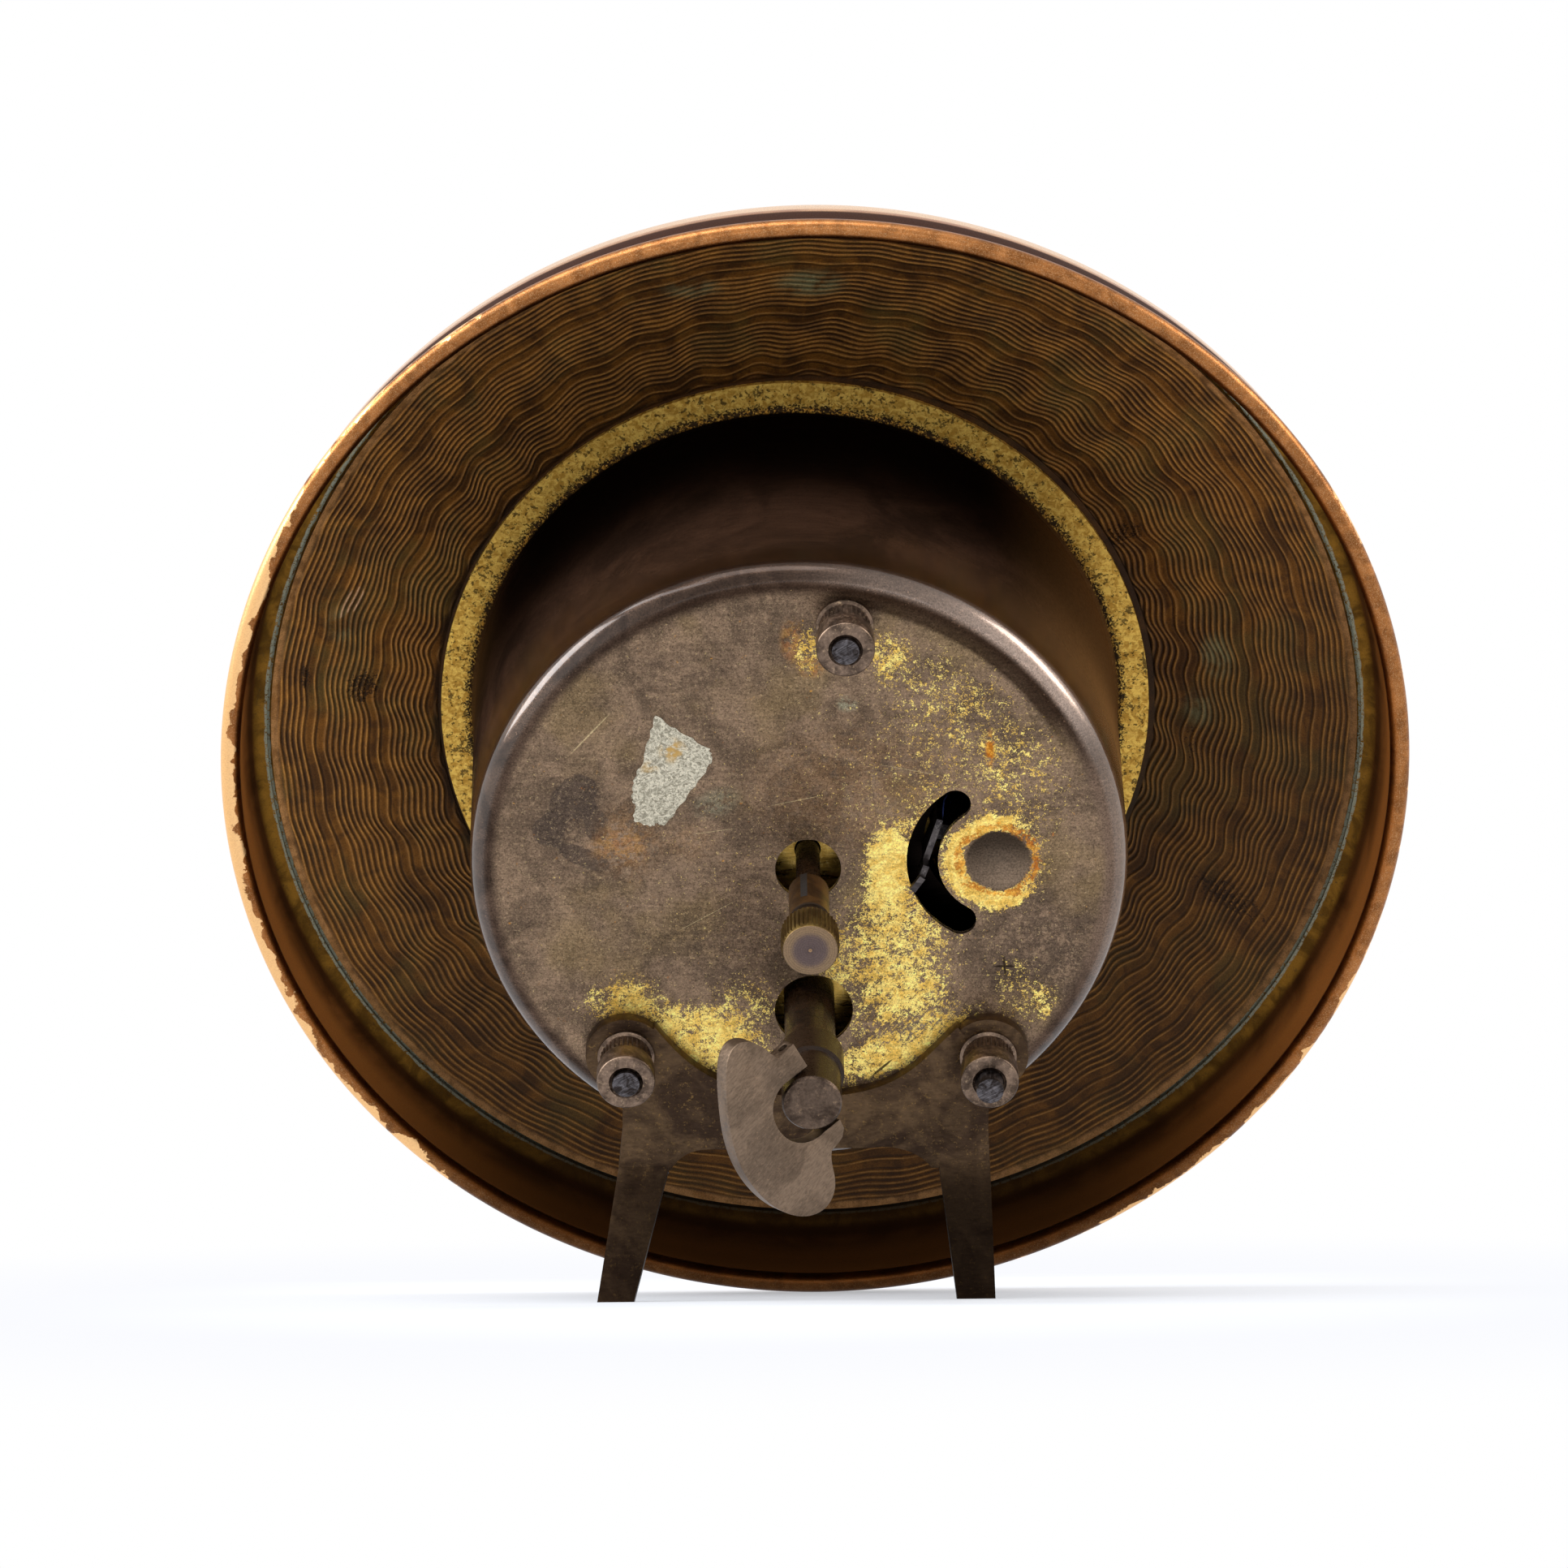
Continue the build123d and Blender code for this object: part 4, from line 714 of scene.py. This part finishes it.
BRASS_LINES = (0.15, 1, 1)
FINISHES = {
    "copper": copper_finish(),
    "plate": engine_turned_finish(),
    "cup": cup_finish(),
    "bracket": worn_finish(
        "bracket_brown", (94, 74, 54), (58, 44, 34), (150, 118, 70), 4.5, 0.16,
        stretch=(0.4, 1, 1), shade="legs",
    ),
    "nut": worn_finish("nut_brown", (130, 109, 93), (80, 66, 56), (176, 150, 120), 1.6, 0.2, 0.36),
    "wing": worn_finish(
        "wing_brown", (122, 103, 86), (99, 83, 69), (150, 122, 98), 5, 0.14,
        stretch=(0.25, 1.7, 1), brushed=-40,
    ),
    "key": worn_finish(
        "key_brown", (94, 78, 66), (60, 48, 40), (140, 116, 92), 1.8, 0.12, 0.3, shade="key", gloss=0.2,
    ),
    "shaft": worn_finish(
        "shaft_brown", (48, 31, 18), (28, 18, 11), (96, 64, 34), 1.6, 0.1, 0.26, metal=0.1, gloss=0.25,
    ),
    "knob": turned_face_finish(),
    "stud": sawn_steel_finish(),
    "movement": worn_finish(
        "movement_brass", (212, 176, 92), (168, 132, 60), (232, 200, 120), 3, 0.3, 0.32,
        stretch=BRASS_LINES,
    ),
    "shaded_plate": worn_finish(
        "shaded_plate", (206, 168, 84), (150, 116, 50), (232, 200, 120), 3, 0.3, 0.3,
        stretch=BRASS_LINES, shade="balance",
    ),
    "dark_steel": worn_finish("dark_steel", (88, 82, 80), (56, 52, 52), (140, 134, 130), 2, 0.15, 0.36),
    "steel": flat_finish("bright_steel", (186, 186, 190), (150, 150, 156), 0.28, 1),
    "blued": flat_finish("blued_steel", (62, 76, 128), (36, 44, 84), 0.26, 1),
    "bezel": worn_finish("bezel_brass", (190, 152, 84), (128, 98, 52), (224, 190, 124), 4, 0.25, 0.3),
    "dial": dial_finish(),
    "print_and_shade": flat_finish("black_print", (30, 28, 28), (22, 20, 20), 0.4, 0),
    "paper": paper_finish(),
    "glass": glass_finish(),
}


def mesh_of(bm, name):
    """Mesh made from an edit mesh, which is then freed."""
    mesh = bpy.data.meshes.new(name)
    bm.to_mesh(mesh)
    bm.free()
    return mesh


def new_object(name, data):
    made = bpy.data.objects.new(name, data)
    bpy.context.scene.collection.objects.link(made)
    return made


def settled(carrier):
    """Plain mesh of an object with its modifiers applied; the object is removed."""
    bpy.context.view_layer.update()
    evaluated = carrier.evaluated_get(bpy.context.evaluated_depsgraph_get())
    mesh = bpy.data.meshes.new_from_object(evaluated)
    carrier.modifiers.clear()
    bpy.data.objects.remove(carrier)
    return mesh


def dress(mesh, finish):
    mesh.materials.clear()
    mesh.materials.append(FINISHES[finish])


def smooth_line(points, steps=6):
    """Points along a smooth line through the given points."""
    out = []
    count = len(points)
    for i in range(count - 1):
        p0 = Vector(points[max(i - 1, 0)])
        p1, p2 = Vector(points[i]), Vector(points[i + 1])
        p3 = Vector(points[min(i + 2, count - 1)])
        for k in range(steps):
            t = k / steps
            bent = 2 * p1 + (p2 - p0) * t + (2 * p0 - 5 * p1 + 4 * p2 - p3) * t ** 2
            out.append(tuple((bent + (3 * p1 - p0 - 3 * p2 + p3) * t ** 3) / 2))
    out.append(tuple(points[-1]))
    return out


def arc(centre, radius, first, last, steps):
    """Points of an arc in the section plane."""
    return [polar(radius, first + (last - first) * k / steps, centre) for k in range(steps + 1)]


def finished(name, mesh, body, finish, replaces=(), sharp=38.0):
    """Object at the origin from a mesh in the part's frame, riding on a body."""
    mesh.name = name
    dress(mesh, finish)
    mesh.shade_smooth()
    mesh.set_sharp_from_angle(angle=math.radians(sharp))
    piece = new_object(name, mesh)
    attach(piece, body)
    if replaces:
        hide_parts(*replaces)


def turned_mesh(profile, centre=(0.0, 0.0), steps=96, zones=None):
    """Closed solid of revolution from (radius, height) points, in the part's frame."""
    bm = bmesh.new()
    layer = bm.verts.layers.float.new("zone") if zones else None
    rings = []
    for k in range(steps):
        a = 2 * math.pi * k / steps
        ring = []
        for j, (r, z) in enumerate(profile):
            vert = bm.verts.new(place(centre[0] + r * math.cos(a), centre[1] + r * math.sin(a), z))
            if layer is not None:
                vert[layer] = zones[j]
            ring.append(vert)
        rings.append(ring)
    count = len(profile)
    for k in range(steps):
        here, there = rings[k], rings[(k + 1) % steps]
        for j in range(count):
            n = (j + 1) % count
            bm.faces.new((here[j], here[n], there[n], there[j]))
    bmesh.ops.remove_doubles(bm, verts=bm.verts, dist=1e-7)
    bmesh.ops.recalc_face_normals(bm, faces=bm.faces)
    return mesh_of(bm, "turned")


def merged(meshes):
    """One mesh from several, closed shells kept apart."""
    bm = bmesh.new()
    for mesh in meshes:
        bm.from_mesh(mesh)
    return mesh_of(bm, "merged")


def from_tree(mesh, tree, **values):
    """Mesh that a geometry tree makes out of the given one."""
    carrier = new_object("carrier", mesh)
    modifier = carrier.modifiers.new("shape", "NODES")
    modifier.node_group = tree
    for item in tree.interface.items_tree:
        key = item.name.replace(" ", "_")
        if item.item_type == "SOCKET" and item.in_out == "INPUT" and key in values:
            modifier[item.identifier] = values[key]
    return settled(carrier)


def make_ring_tree():
    """Copies one element evenly round the z axis."""
    inputs = [("Element", GEOMETRY), ("Count", WHOLE), ("First", FLOAT), ("Finish", MATERIAL)]
    outputs = [("Mesh", GEOMETRY)]
    tree, web, given, result = new_group("ring of copies", inputs, outputs, "GeometryNodeTree")
    points = web.add("GeometryNodePoints", {"Count": given["Count"]})
    index = web.add("GeometryNodeInputIndex").outputs[0]
    turn = index * (2 * math.pi / given["Count"]) + given["First"]
    named = {"Points": points.outputs[0], "Instance": given["Element"]}
    named["Rotation"] = web.join(0.0, 0.0, turn)
    copies = web.add("GeometryNodeInstanceOnPoints", named)
    real = web.shape("RealizeInstances", copies.outputs[0])
    web.feed(result["Mesh"], web.shape("SetMaterial", real, Material=given["Finish"]))
    return tree


RING_TREE = make_ring_tree()


def ring_of(corners, faces, count, finish, centre=(0.0, 0.0), first=0.0):
    """Mesh of one small element, given in clock millimetres, repeated round a centre."""
    element = bpy.data.meshes.new("element")
    element.from_pydata(corners, [], faces)
    values = {"Count": count, "First": math.radians(first), "Finish": FINISHES[finish]}
    made = from_tree(element, RING_TREE, **values)
    made.transform(CLOCK_MATRIX @ Matrix.Translation((*centre, 0.0)))
    bm = bmesh.new()
    bm.from_mesh(made)
    bmesh.ops.recalc_face_normals(bm, faces=bm.faces)
    bm.to_mesh(made)
    bm.free()
    return made


def ridge_element(radius, height, width, z0, z1, slope=0.25):
    """Roof-shaped ridge along z on a cylinder, as corners and faces."""
    low, top, half = radius - 0.15, radius + height, width / 2
    corners = [(low, -half, z0), (top, 0.0, z0 + slope), (low, half, z0)]
    corners += [(low, -half, z1), (top, 0.0, z1 - slope), (low, half, z1)]
    return corners, [(0, 1, 2), (5, 4, 3), (0, 3, 4, 1), (1, 4, 5, 2), (2, 5, 3, 0)]


def make_plate_tree():
    """Wavy engine-turned lines on a shallow dome, rows following the lines."""
    inputs = [
        ("Geometry", GEOMETRY), ("Pitch", FLOAT, 0.452), ("Depth", FLOAT, 0.045),
        ("Waves", FLOAT, 40.0), ("Swing", FLOAT, 0.28), ("Outer radius", FLOAT, PLATE_EDGE),
        ("Seat radius", FLOAT, SEAT), ("Seat offset", FLOAT, RIM_AT[0] - CUP_AT[0]),
        ("Dome radius", FLOAT, DOME), ("Drop", FLOAT, 0.0), ("Rows per line", FLOAT, 4.0),
        ("Rows", WHOLE, 157), ("Columns", WHOLE, 441), ("Finish", MATERIAL),
    ]
    outputs = [("Mesh", GEOMETRY)]
    tree, web, given, result = new_group("engine turned sheet", inputs, outputs, "GeometryNodeTree")
    depth, waves, per_line = given["Depth"], given["Waves"], given["Rows per line"]
    edge, seat, offset = given["Outer radius"], given["Seat radius"], given["Seat offset"]
    named = {"Size X": 1.0, "Size Y": 1.0, "Vertices X": given["Rows"], "Vertices Y": given["Columns"]}
    grid = web.add("GeometryNodeMeshGrid", named).outputs[0]
    across, along, _ = web.split(web.add("GeometryNodeInputPosition").outputs[0])

    row = web.calc("ROUND", (across + 0.5) * (given["Rows"] - 1.0))
    angle = (along + 0.5) * (2 * math.pi)
    sine, cosine = web.calc("SINE", angle), web.calc("COSINE", angle)
    line = web.calc("FLOOR", (row + 0.01) / per_line)
    phase = (row - line * per_line) / per_line
    nominal = edge + 0.6 - row / per_line * given["Pitch"]
    spot = web.vector("SCALE", web.join(cosine, sine, 0.0), scale=nominal)
    drift = nominal * 0.42 + web.noise(spot, 0.09, 1.0) * 3.4
    swing = web.calc("SINE", angle * waves + drift)
    second = web.calc("SINE", angle * (waves * 0.5) + drift * 1.7)
    uneven = web.span(web.noise(spot, 0.22, 1.0), 0.3, 0.7, 0.65, 1.2)
    wave = (swing + second * 0.24) * (uneven * given["Swing"])
    wanted = nominal + wave * web.span(nominal, 43.6, 33.0, 0.3, 1.0, smooth=False)

    off_sine = sine * offset
    inner = web.calc("SQRT", seat * seat - off_sine * off_sine) - cosine * offset
    radius = web.calc("MINIMUM", web.larger(wanted, inner), edge)
    clear_in = web.calc("GREATER_THAN", wanted, inner + 0.12)
    inside = clear_in * web.calc("LESS_THAN", wanted, edge - 0.4)
    eleventh = web.calc("MODULO", line, 11.0)
    gaps = web.calc("COMPARE", eleventh, 8.0, 0.3) + web.calc("COMPARE", eleventh, 10.0, 0.3)
    kept = inside * web.calc("SUBTRACT", 1.0, gaps, clamp=True)
    top = web.calc("LESS_THAN", phase, 0.01) * kept
    valley = web.calc("COMPARE", phase, 0.5, 0.01) * kept
    bowl = (radius * radius - edge * edge) / (given["Dome radius"] * 2.0)
    level = bowl + (top * depth - valley * depth * 0.5) - given["Drop"]

    sheet = web.shape("StoreNamedAttribute", grid, Name="ridge", Value=top)
    sheet = web.shape("StoreNamedAttribute", sheet, Name="groove", Value=valley)
    sheet = web.shape("SetPosition", sheet, Position=web.join(radius * cosine, radius * sine, level))
    sheet = web.shape("MergeByDistance", sheet, Distance=0.02)
    sheet = web.shape("RealizeInstances", sheet)
    web.feed(result["Mesh"], web.shape("SetMaterial", sheet, Material=given["Finish"]))
    return tree


def build_plate():
    """Decorated sheet: two faces closed at both edges, and the flat seat under the cup's flange."""
    tree = make_plate_tree()
    bm = bmesh.new()
    for values in ({}, {"Drop": SHEET, "Rows_per_line": 2.0, "Rows": 79}):
        blank = bpy.data.meshes.new("blank")
        bm.from_mesh(from_tree(blank, tree, Finish=FINISHES["plate"], **values))
    for outer in (True, False):
        edges = [e for e in bm.edges if e.is_boundary and (e.verts[0].co.xy.length > 40.0) == outer]
        bmesh.ops.bridge_loops(bm, edges=edges)
    bmesh.ops.recalc_face_normals(bm, faces=bm.faces)
    bm.transform(CLOCK_MATRIX @ Matrix.Translation((*RIM_AT, 0.0)))
    low, hole, rim = SEAT_Z - SHEET, 26.6, 29.15
    seat = turned_mesh([(hole, low), (rim, low), (rim, SEAT_Z), (hole, SEAT_Z)], CUP_AT, 192)
    whole = merged([mesh_of(bm, "sheet"), seat])
    finished("engine_turned_plate", whole, "case", "plate", ("guilloche_plate",), 60.0)


def build_rim():
    """Spun rim: lip over the plate's edge, sloping wall, and the bead rolled outward behind.

    The zone runs along the profile: wall to 0.72, bead from 0.8 to 1.9, inner side from 2.
    """
    outer = [
        (-1.52, -1.75), (-0.42, -1.68), (0.68, -1.35), (1.53, -0.7), (2.13, 0.2), (2.48, 1.4),
        (2.73, 3.0), (2.88, 4.8), (2.93, 6.3),
    ]
    inner = [
        (2.42, 6.55), (2.38, 5.0), (2.23, 3.4), (2.03, 2.0), (1.78, 1.0), (1.43, 0.35), (0.98, 0.05),
        (0.33, -0.05),
    ]
    bead_circle, bead_z, bead_radius = 3.03, 7.1, 0.78
    profile, zones = [], []

    def extend(points, first, last):
        for k, (out, z) in enumerate(points):
            profile.append((PLATE_EDGE + out, z))
            zones.append(first + (last - first) * k / max(len(points) - 1, 1))

    extend(smooth_line(outer), 0.0, 0.72)
    extend(arc((bead_circle, bead_z), bead_radius, -94.0, 218.0, 26), 0.8, 1.9)
    extend(smooth_line(inner), 2.0, 3.2)
    extend([(0.33, -0.56), (-1.52, -1.1)], 3.5, 3.6)
    mesh = turned_mesh(profile, RIM_AT, 480, zones)
    finished("spun_rim_sheet", mesh, "case", "copper", ("spun_rim",), 50.0)


def build_rounded(node, body, finish, width):
    """Copy of a solid with its creases rounded, in its place."""
    bm = bmesh.new()
    bm.from_mesh(nodes[node].data)
    bmesh.ops.remove_doubles(bm, verts=bm.verts, dist=2e-6)
    bmesh.ops.dissolve_limit(bm, angle_limit=math.radians(0.8), verts=bm.verts, edges=bm.edges)
    carrier = new_object("carrier", mesh_of(bm, "sharp"))
    bevel = carrier.modifiers.new("rounding", "BEVEL")
    bevel.width = width * MM
    bevel.segments = 2
    bevel.limit_method = "ANGLE"
    bevel.angle_limit = math.radians(50.0)
    finished(node + "_rounded", settled(carrier), body, finish, (node,), 40.0)


BOX_FACES = [(3, 2, 1, 0), (4, 5, 6, 7), (0, 1, 5, 4), (1, 2, 6, 5), (2, 3, 7, 6), (3, 0, 4, 7)]


def build_nut(name):
    """Round nut: smooth front disc, rough band behind it and a low collar at its base."""
    at = STUD_AT[name]
    base = DRUM_BACK if name == "top" else BRACKET_BACK
    end = base + NUT_LENGTH
    bore = 1.11
    neck = end - 2.25
    profile = [
        (bore, base), (2.2, base), (2.25, base + 0.08), (2.25, base + 0.3), (2.02, base + 0.45),
        (1.98, base + 0.7), (1.98, neck - 0.12), (2.12, neck),
    ]
    profile += arc((2.1, neck + 0.2), 0.2, -80.0, 0.0, 4)
    profile += arc((2.08, end - 0.24), 0.22, 0.0, 90.0, 5)
    profile += [(1.35, end), (1.22, end - 0.1), (bore, end - 0.14)]
    body = turned_mesh(profile, at, 96)
    ridges = ring_of(*ridge_element(1.99, 0.09, 0.3, base + 0.6, neck - 0.05, 0.1), 34, "nut", at)
    node = "nut_" + name
    finished(node + "_turned", merged([body, ridges]), "case", "nut", (node,))


def build_knob():
    """Setting knob: slotted tube, groove and a knurled head with rounded shoulder and turned face."""
    start, end = DRUM_BACK + 3.915, DRUM_BACK + 14.315
    tube, head = 1.58, 2.16
    bore, bottom = 0.95, start + 1.6
    profile = [
        (bore, start), (tube - 0.12, start), (tube, start + 0.12), (tube, end - 5.3),
        (tube - 0.1, end - 5.22), (tube - 0.1, end - 4.6), (tube, end - 4.52), (tube, end - 3.86),
        (head - 0.42, end - 3.8),
    ]
    profile += arc((head - 0.62, end - 3.1), 0.6, -68.0, 0.0, 5)
    profile += [
        (head, end - 0.16), (head - 0.05, end - 0.06), (head - 0.12, end - 0.02), (0.9, end - 0.04),
        (0.16, end - 0.03), (0.0, end - 0.08), (0.0, bottom), (bore, bottom),
    ]
    body = turned_mesh(profile, steps=120)
    knurl = ring_of(*ridge_element(head - 0.02, 0.14, 0.36, end - 3.45, end - 0.05, 0.3), 38, "knob")
    whole = merged([body, knurl])
    finished("hand_knob_turned", whole, "hand_shaft", "knob", ("hand_knob",))
    # The slot: two black boxes set into the tube, a dark solid standing for the shade inside the opening.
    outline = [(-0.27, 1.2), (0.27, 1.2), (0.27, tube + 0.012), (-0.27, tube + 0.012)]
    corners = [(x, y, z) for z in (start - 0.01, start + 3.9) for x, y in outline]
    slot_shade = ring_of(corners, BOX_FACES, 2, "print_and_shade", first=15.0)
    finished("hand_knob_slot", slot_shade, "hand_shaft", "print_and_shade")


def build_paper():
    """Remains of a paper label on the drum, with a torn outline."""
    corners = [
        (-11.9, 13.55), (-10.4, 12.4), (-7.7, 10.6), (-7.45, 9.8), (-7.8, 9.0), (-9.4, 6.6), (-11.2, 4.0),
        (-11.9, 4.15), (-12.4, 3.9), (-13.75, 4.45), (-13.5, 5.6), (-13.8, 6.4), (-13.7, 7.9), (-13.0, 9.4),
        (-12.4, 11.6),
    ]
    outline = []
    count = len(corners)
    for k in range(count):
        a, b = Vector(corners[k]), Vector(corners[(k + 1) % count])
        normal = Vector((a.y - b.y, b.x - a.x)).normalized()
        for step in range(6):
            share = step / 6
            tear = 0.09 * math.sin(7.3 * (k * 6 + step) + 1.7 * math.sin(3.1 * step + k))
            outline.append(a.lerp(b, share) + normal * tear)
    bm = bmesh.new()
    low = [bm.verts.new(place(p.x, p.y, DRUM_BACK + 0.005)) for p in outline]
    high = [bm.verts.new(place(p.x, p.y, DRUM_BACK + 0.05)) for p in outline]
    bm.faces.new(high)
    bm.faces.new(low[::-1])
    for k in range(len(outline)):
        n = (k + 1) % len(outline)
        bm.faces.new((low[k], low[n], high[n], high[k]))
    bmesh.ops.recalc_face_normals(bm, faces=bm.faces)
    finished("paper_remains", mesh_of(bm, "paper"), "case", "paper")


def build_dimple():
    """Shallow pressed dimple over the balance axis."""
    profile = [(2.6, DRUM_BACK - 0.02)]
    for k in range(9):
        r = 2.58 * (1 - k / 8)
        profile.append((r, DRUM_BACK - 0.005 - 0.13 * (1 - (r / 2.6) ** 2) ** 0.8))
    profile += [(0.0, DRUM_BACK - 0.16), (2.6, DRUM_BACK - 0.16)]
    finished("balance_dimple", turned_mesh(profile, BALANCE_AT), "case", "cup")


def build_dial_marks():
    """Minute marks and generic hour numbers on the dial's front."""
    front = -5.6
    bar = [(21.2, -0.07), (22.3, -0.07), (22.3, 0.07), (21.2, 0.07)]
    wide = [(20.9, -0.22), (22.3, -0.22), (22.3, 0.22), (20.9, 0.22)]
    made = []
    for outline, count in ((bar, 60), (wide, 12)):
        corners = [(x, y, z) for z in (front - 0.03, front + 0.01) for x, y in outline]
        made.append(ring_of(corners, BOX_FACES, count, "print_and_shade"))
    for hour in range(1, 13):
        curve = bpy.data.curves.new("hour", "FONT")
        curve.body = str(hour)
        curve.size = 4.4
        curve.align_x = "CENTER"
        curve.align_y = "CENTER"
        curve.extrude = 0.02
        mesh = settled(new_object("hour", curve))
        x, y = polar(17.8, 90 + 30 * hour)
        facing = Matrix(((-1, 0, 0, x), (0, 1, 0, y), (0, 0, -1, front - 0.01), (0, 0, 0, 1)))
        mesh.transform(CLOCK_MATRIX @ facing)
        made.append(mesh)
    finished("dial_marks", merged(made), "case", "print_and_shade")


build_rim()
build_plate()
build_rounded("foot_bracket", "case", "bracket", 0.09)
build_rounded("winding_wing", "wing", "wing", 0.2)
for stud in STUD_ANGLES:
    build_nut(stud)
build_knob()
build_paper()
build_dimple()
build_dial_marks()

NODE_FINISHES = {
    "cup": ["case_cup"],
    "key": ["winding_key"],
    "shaft": ["winding_arbor", "hand_arbor", "wing_pin"],
    "stud": ["pillar_top", "pillar_left", "pillar_right"],
    "movement": [
        "spacer_top", "spacer_left", "spacer_right", "front_plate", "barrel_drum", "barrel_cover",
        "intermediate_wheel", "centre_wheel", "third_wheel", "fourth_wheel", "escape_wheel",
        "balance_wheel", "balance_bearing", "hour_wheel", "minute_wheel", "hairspring_stud",
    ],
    "shaded_plate": ["rear_plate"],
    "dark_steel": ["regulator_index", "click_spring", "crystal_spacer", "mainspring"],
    "steel": [
        "ratchet_wheel", "click", "click_screw", "intermediate_arbor", "centre_pinion", "third_arbor",
        "fourth_arbor", "escape_arbor", "pallet_lever", "pallet_arbor", "balance_staff",
        "cannon_pinion", "minute_post",
    ],
    "blued": ["hairspring"],
    "dial": ["dial"],
    "print_and_shade": ["hour_hand", "minute_hand"],
    "bezel": ["dial_bezel"],
    "glass": ["crystal"],
}
for finish, names in NODE_FINISHES.items():
    for name in names:
        dress(nodes[name].data, finish)


# Camera of the photograph: its place and turn, worked out from the round shapes in it.
CAMERA_AT = Vector((8.927, 941.121, 21.422)) * MM
CAMERA_TURN = (91.2, 0.5385, 179.6222)
LENS = 270.19
AIM = Vector((0.0, 0.0, 0.04))
WHITE = (1.0, 1.0, 1.0)

# Soft lights: place, width and height, watts and colour.
SOFTBOXES = {
    "softbox_left": ((0.72, 0.05, 0.38), (0.34, 0.5), 5.0, (0.94, 0.97, 1.0)),
    "softbox_top": ((0.12, 0.28, 0.82), (0.5, 0.3), 2.4, WHITE),
    "softbox_upper_left": ((0.46, 0.2, 0.72), (0.6, 0.1), 1.8, (0.9, 0.95, 1.0)),
    "softbox_right": ((-0.72, 0.05, 0.4), (0.3, 0.4), 2.4, (1.0, 0.96, 0.92)),
    "softbox_low": ((0.0, 0.75, 0.12), (0.7, 0.12), 0.4, WHITE),
}


def make_camera():
    data = bpy.data.cameras.new("camera")
    data.sensor_width, data.lens = 36.0, LENS
    data.clip_start, data.clip_end = 0.05, 20.0
    camera = new_object("camera", data)
    camera.location = CAMERA_AT
    camera.rotation_euler = [math.radians(a) for a in CAMERA_TURN]
    bpy.context.scene.camera = camera


def make_lights():
    for name, (at, size, watts, colour) in SOFTBOXES.items():
        data = bpy.data.lights.new(name, "AREA")
        data.shape = "RECTANGLE"
        data.size, data.size_y = size
        data.energy = watts
        data.color = colour
        lamp = new_object(name, data)
        lamp.location = at
        lamp.rotation_euler = (AIM - Vector(at)).to_track_quat("-Z", "Y").to_euler()


def make_world():
    """White surroundings, at half strength where they only light the clock."""
    world = bpy.data.worlds.new("studio")
    bpy.context.scene.world = world
    world.use_nodes = True
    web = Web(world.node_tree)
    background = world.node_tree.nodes["Background"].inputs
    background["Color"].default_value = (*WHITE, 1.0)
    web.feed(background["Strength"], web.span(web.seen(), 0.0, 1.0, 0.5, 1.0, smooth=False))


def make_floor():
    """Pale floor: white to the camera but for a faint cool shade and the shadow close to the clock."""
    mesh = bpy.data.meshes.new("floor")
    half = 3.0
    corners = [(-half, -half, 0), (half, -half, 0), (half, half, 0), (-half, half, 0)]
    mesh.from_pydata(corners, [], [(0, 1, 2, 3)])
    floor = new_object("floor", mesh)
    f = Finish("pale_floor", Roughness=0.6)
    here = f.add("ShaderNodeTexCoord").outputs["Object"]
    f.shader.inputs["Base Color"].default_value = paint(240, 244, 251)
    reach = f.vector("LENGTH", f.vector("MULTIPLY", here, (0.75, 0.32, 0.0)))
    white = f.span(reach, 0.004, 0.05, 0.35, 1.0)
    white = f.larger(white, f.span(f.split(here)[1], -0.02, -0.09))
    cool = f.mix(f.span(reach, 0.1, 0.04), (255, 255, 255), (250, 251, 255))
    glow = f.add("ShaderNodeEmission", {"Color": cool, "Strength": 1.0})
    blend = f.add("ShaderNodeMixShader", {"Fac": f.seen() * white})
    f.feed(blend.inputs[1], f.shader.outputs[0])
    f.feed(blend.inputs[2], glow.outputs[0])
    f.feed(f.tree.nodes["Material Output"].inputs["Surface"], blend.outputs[0])
    mesh.materials.append(f.material)


make_camera()
bpy.context.scene.view_settings.view_transform = "Standard"
make_world()
make_floor()
make_lights()
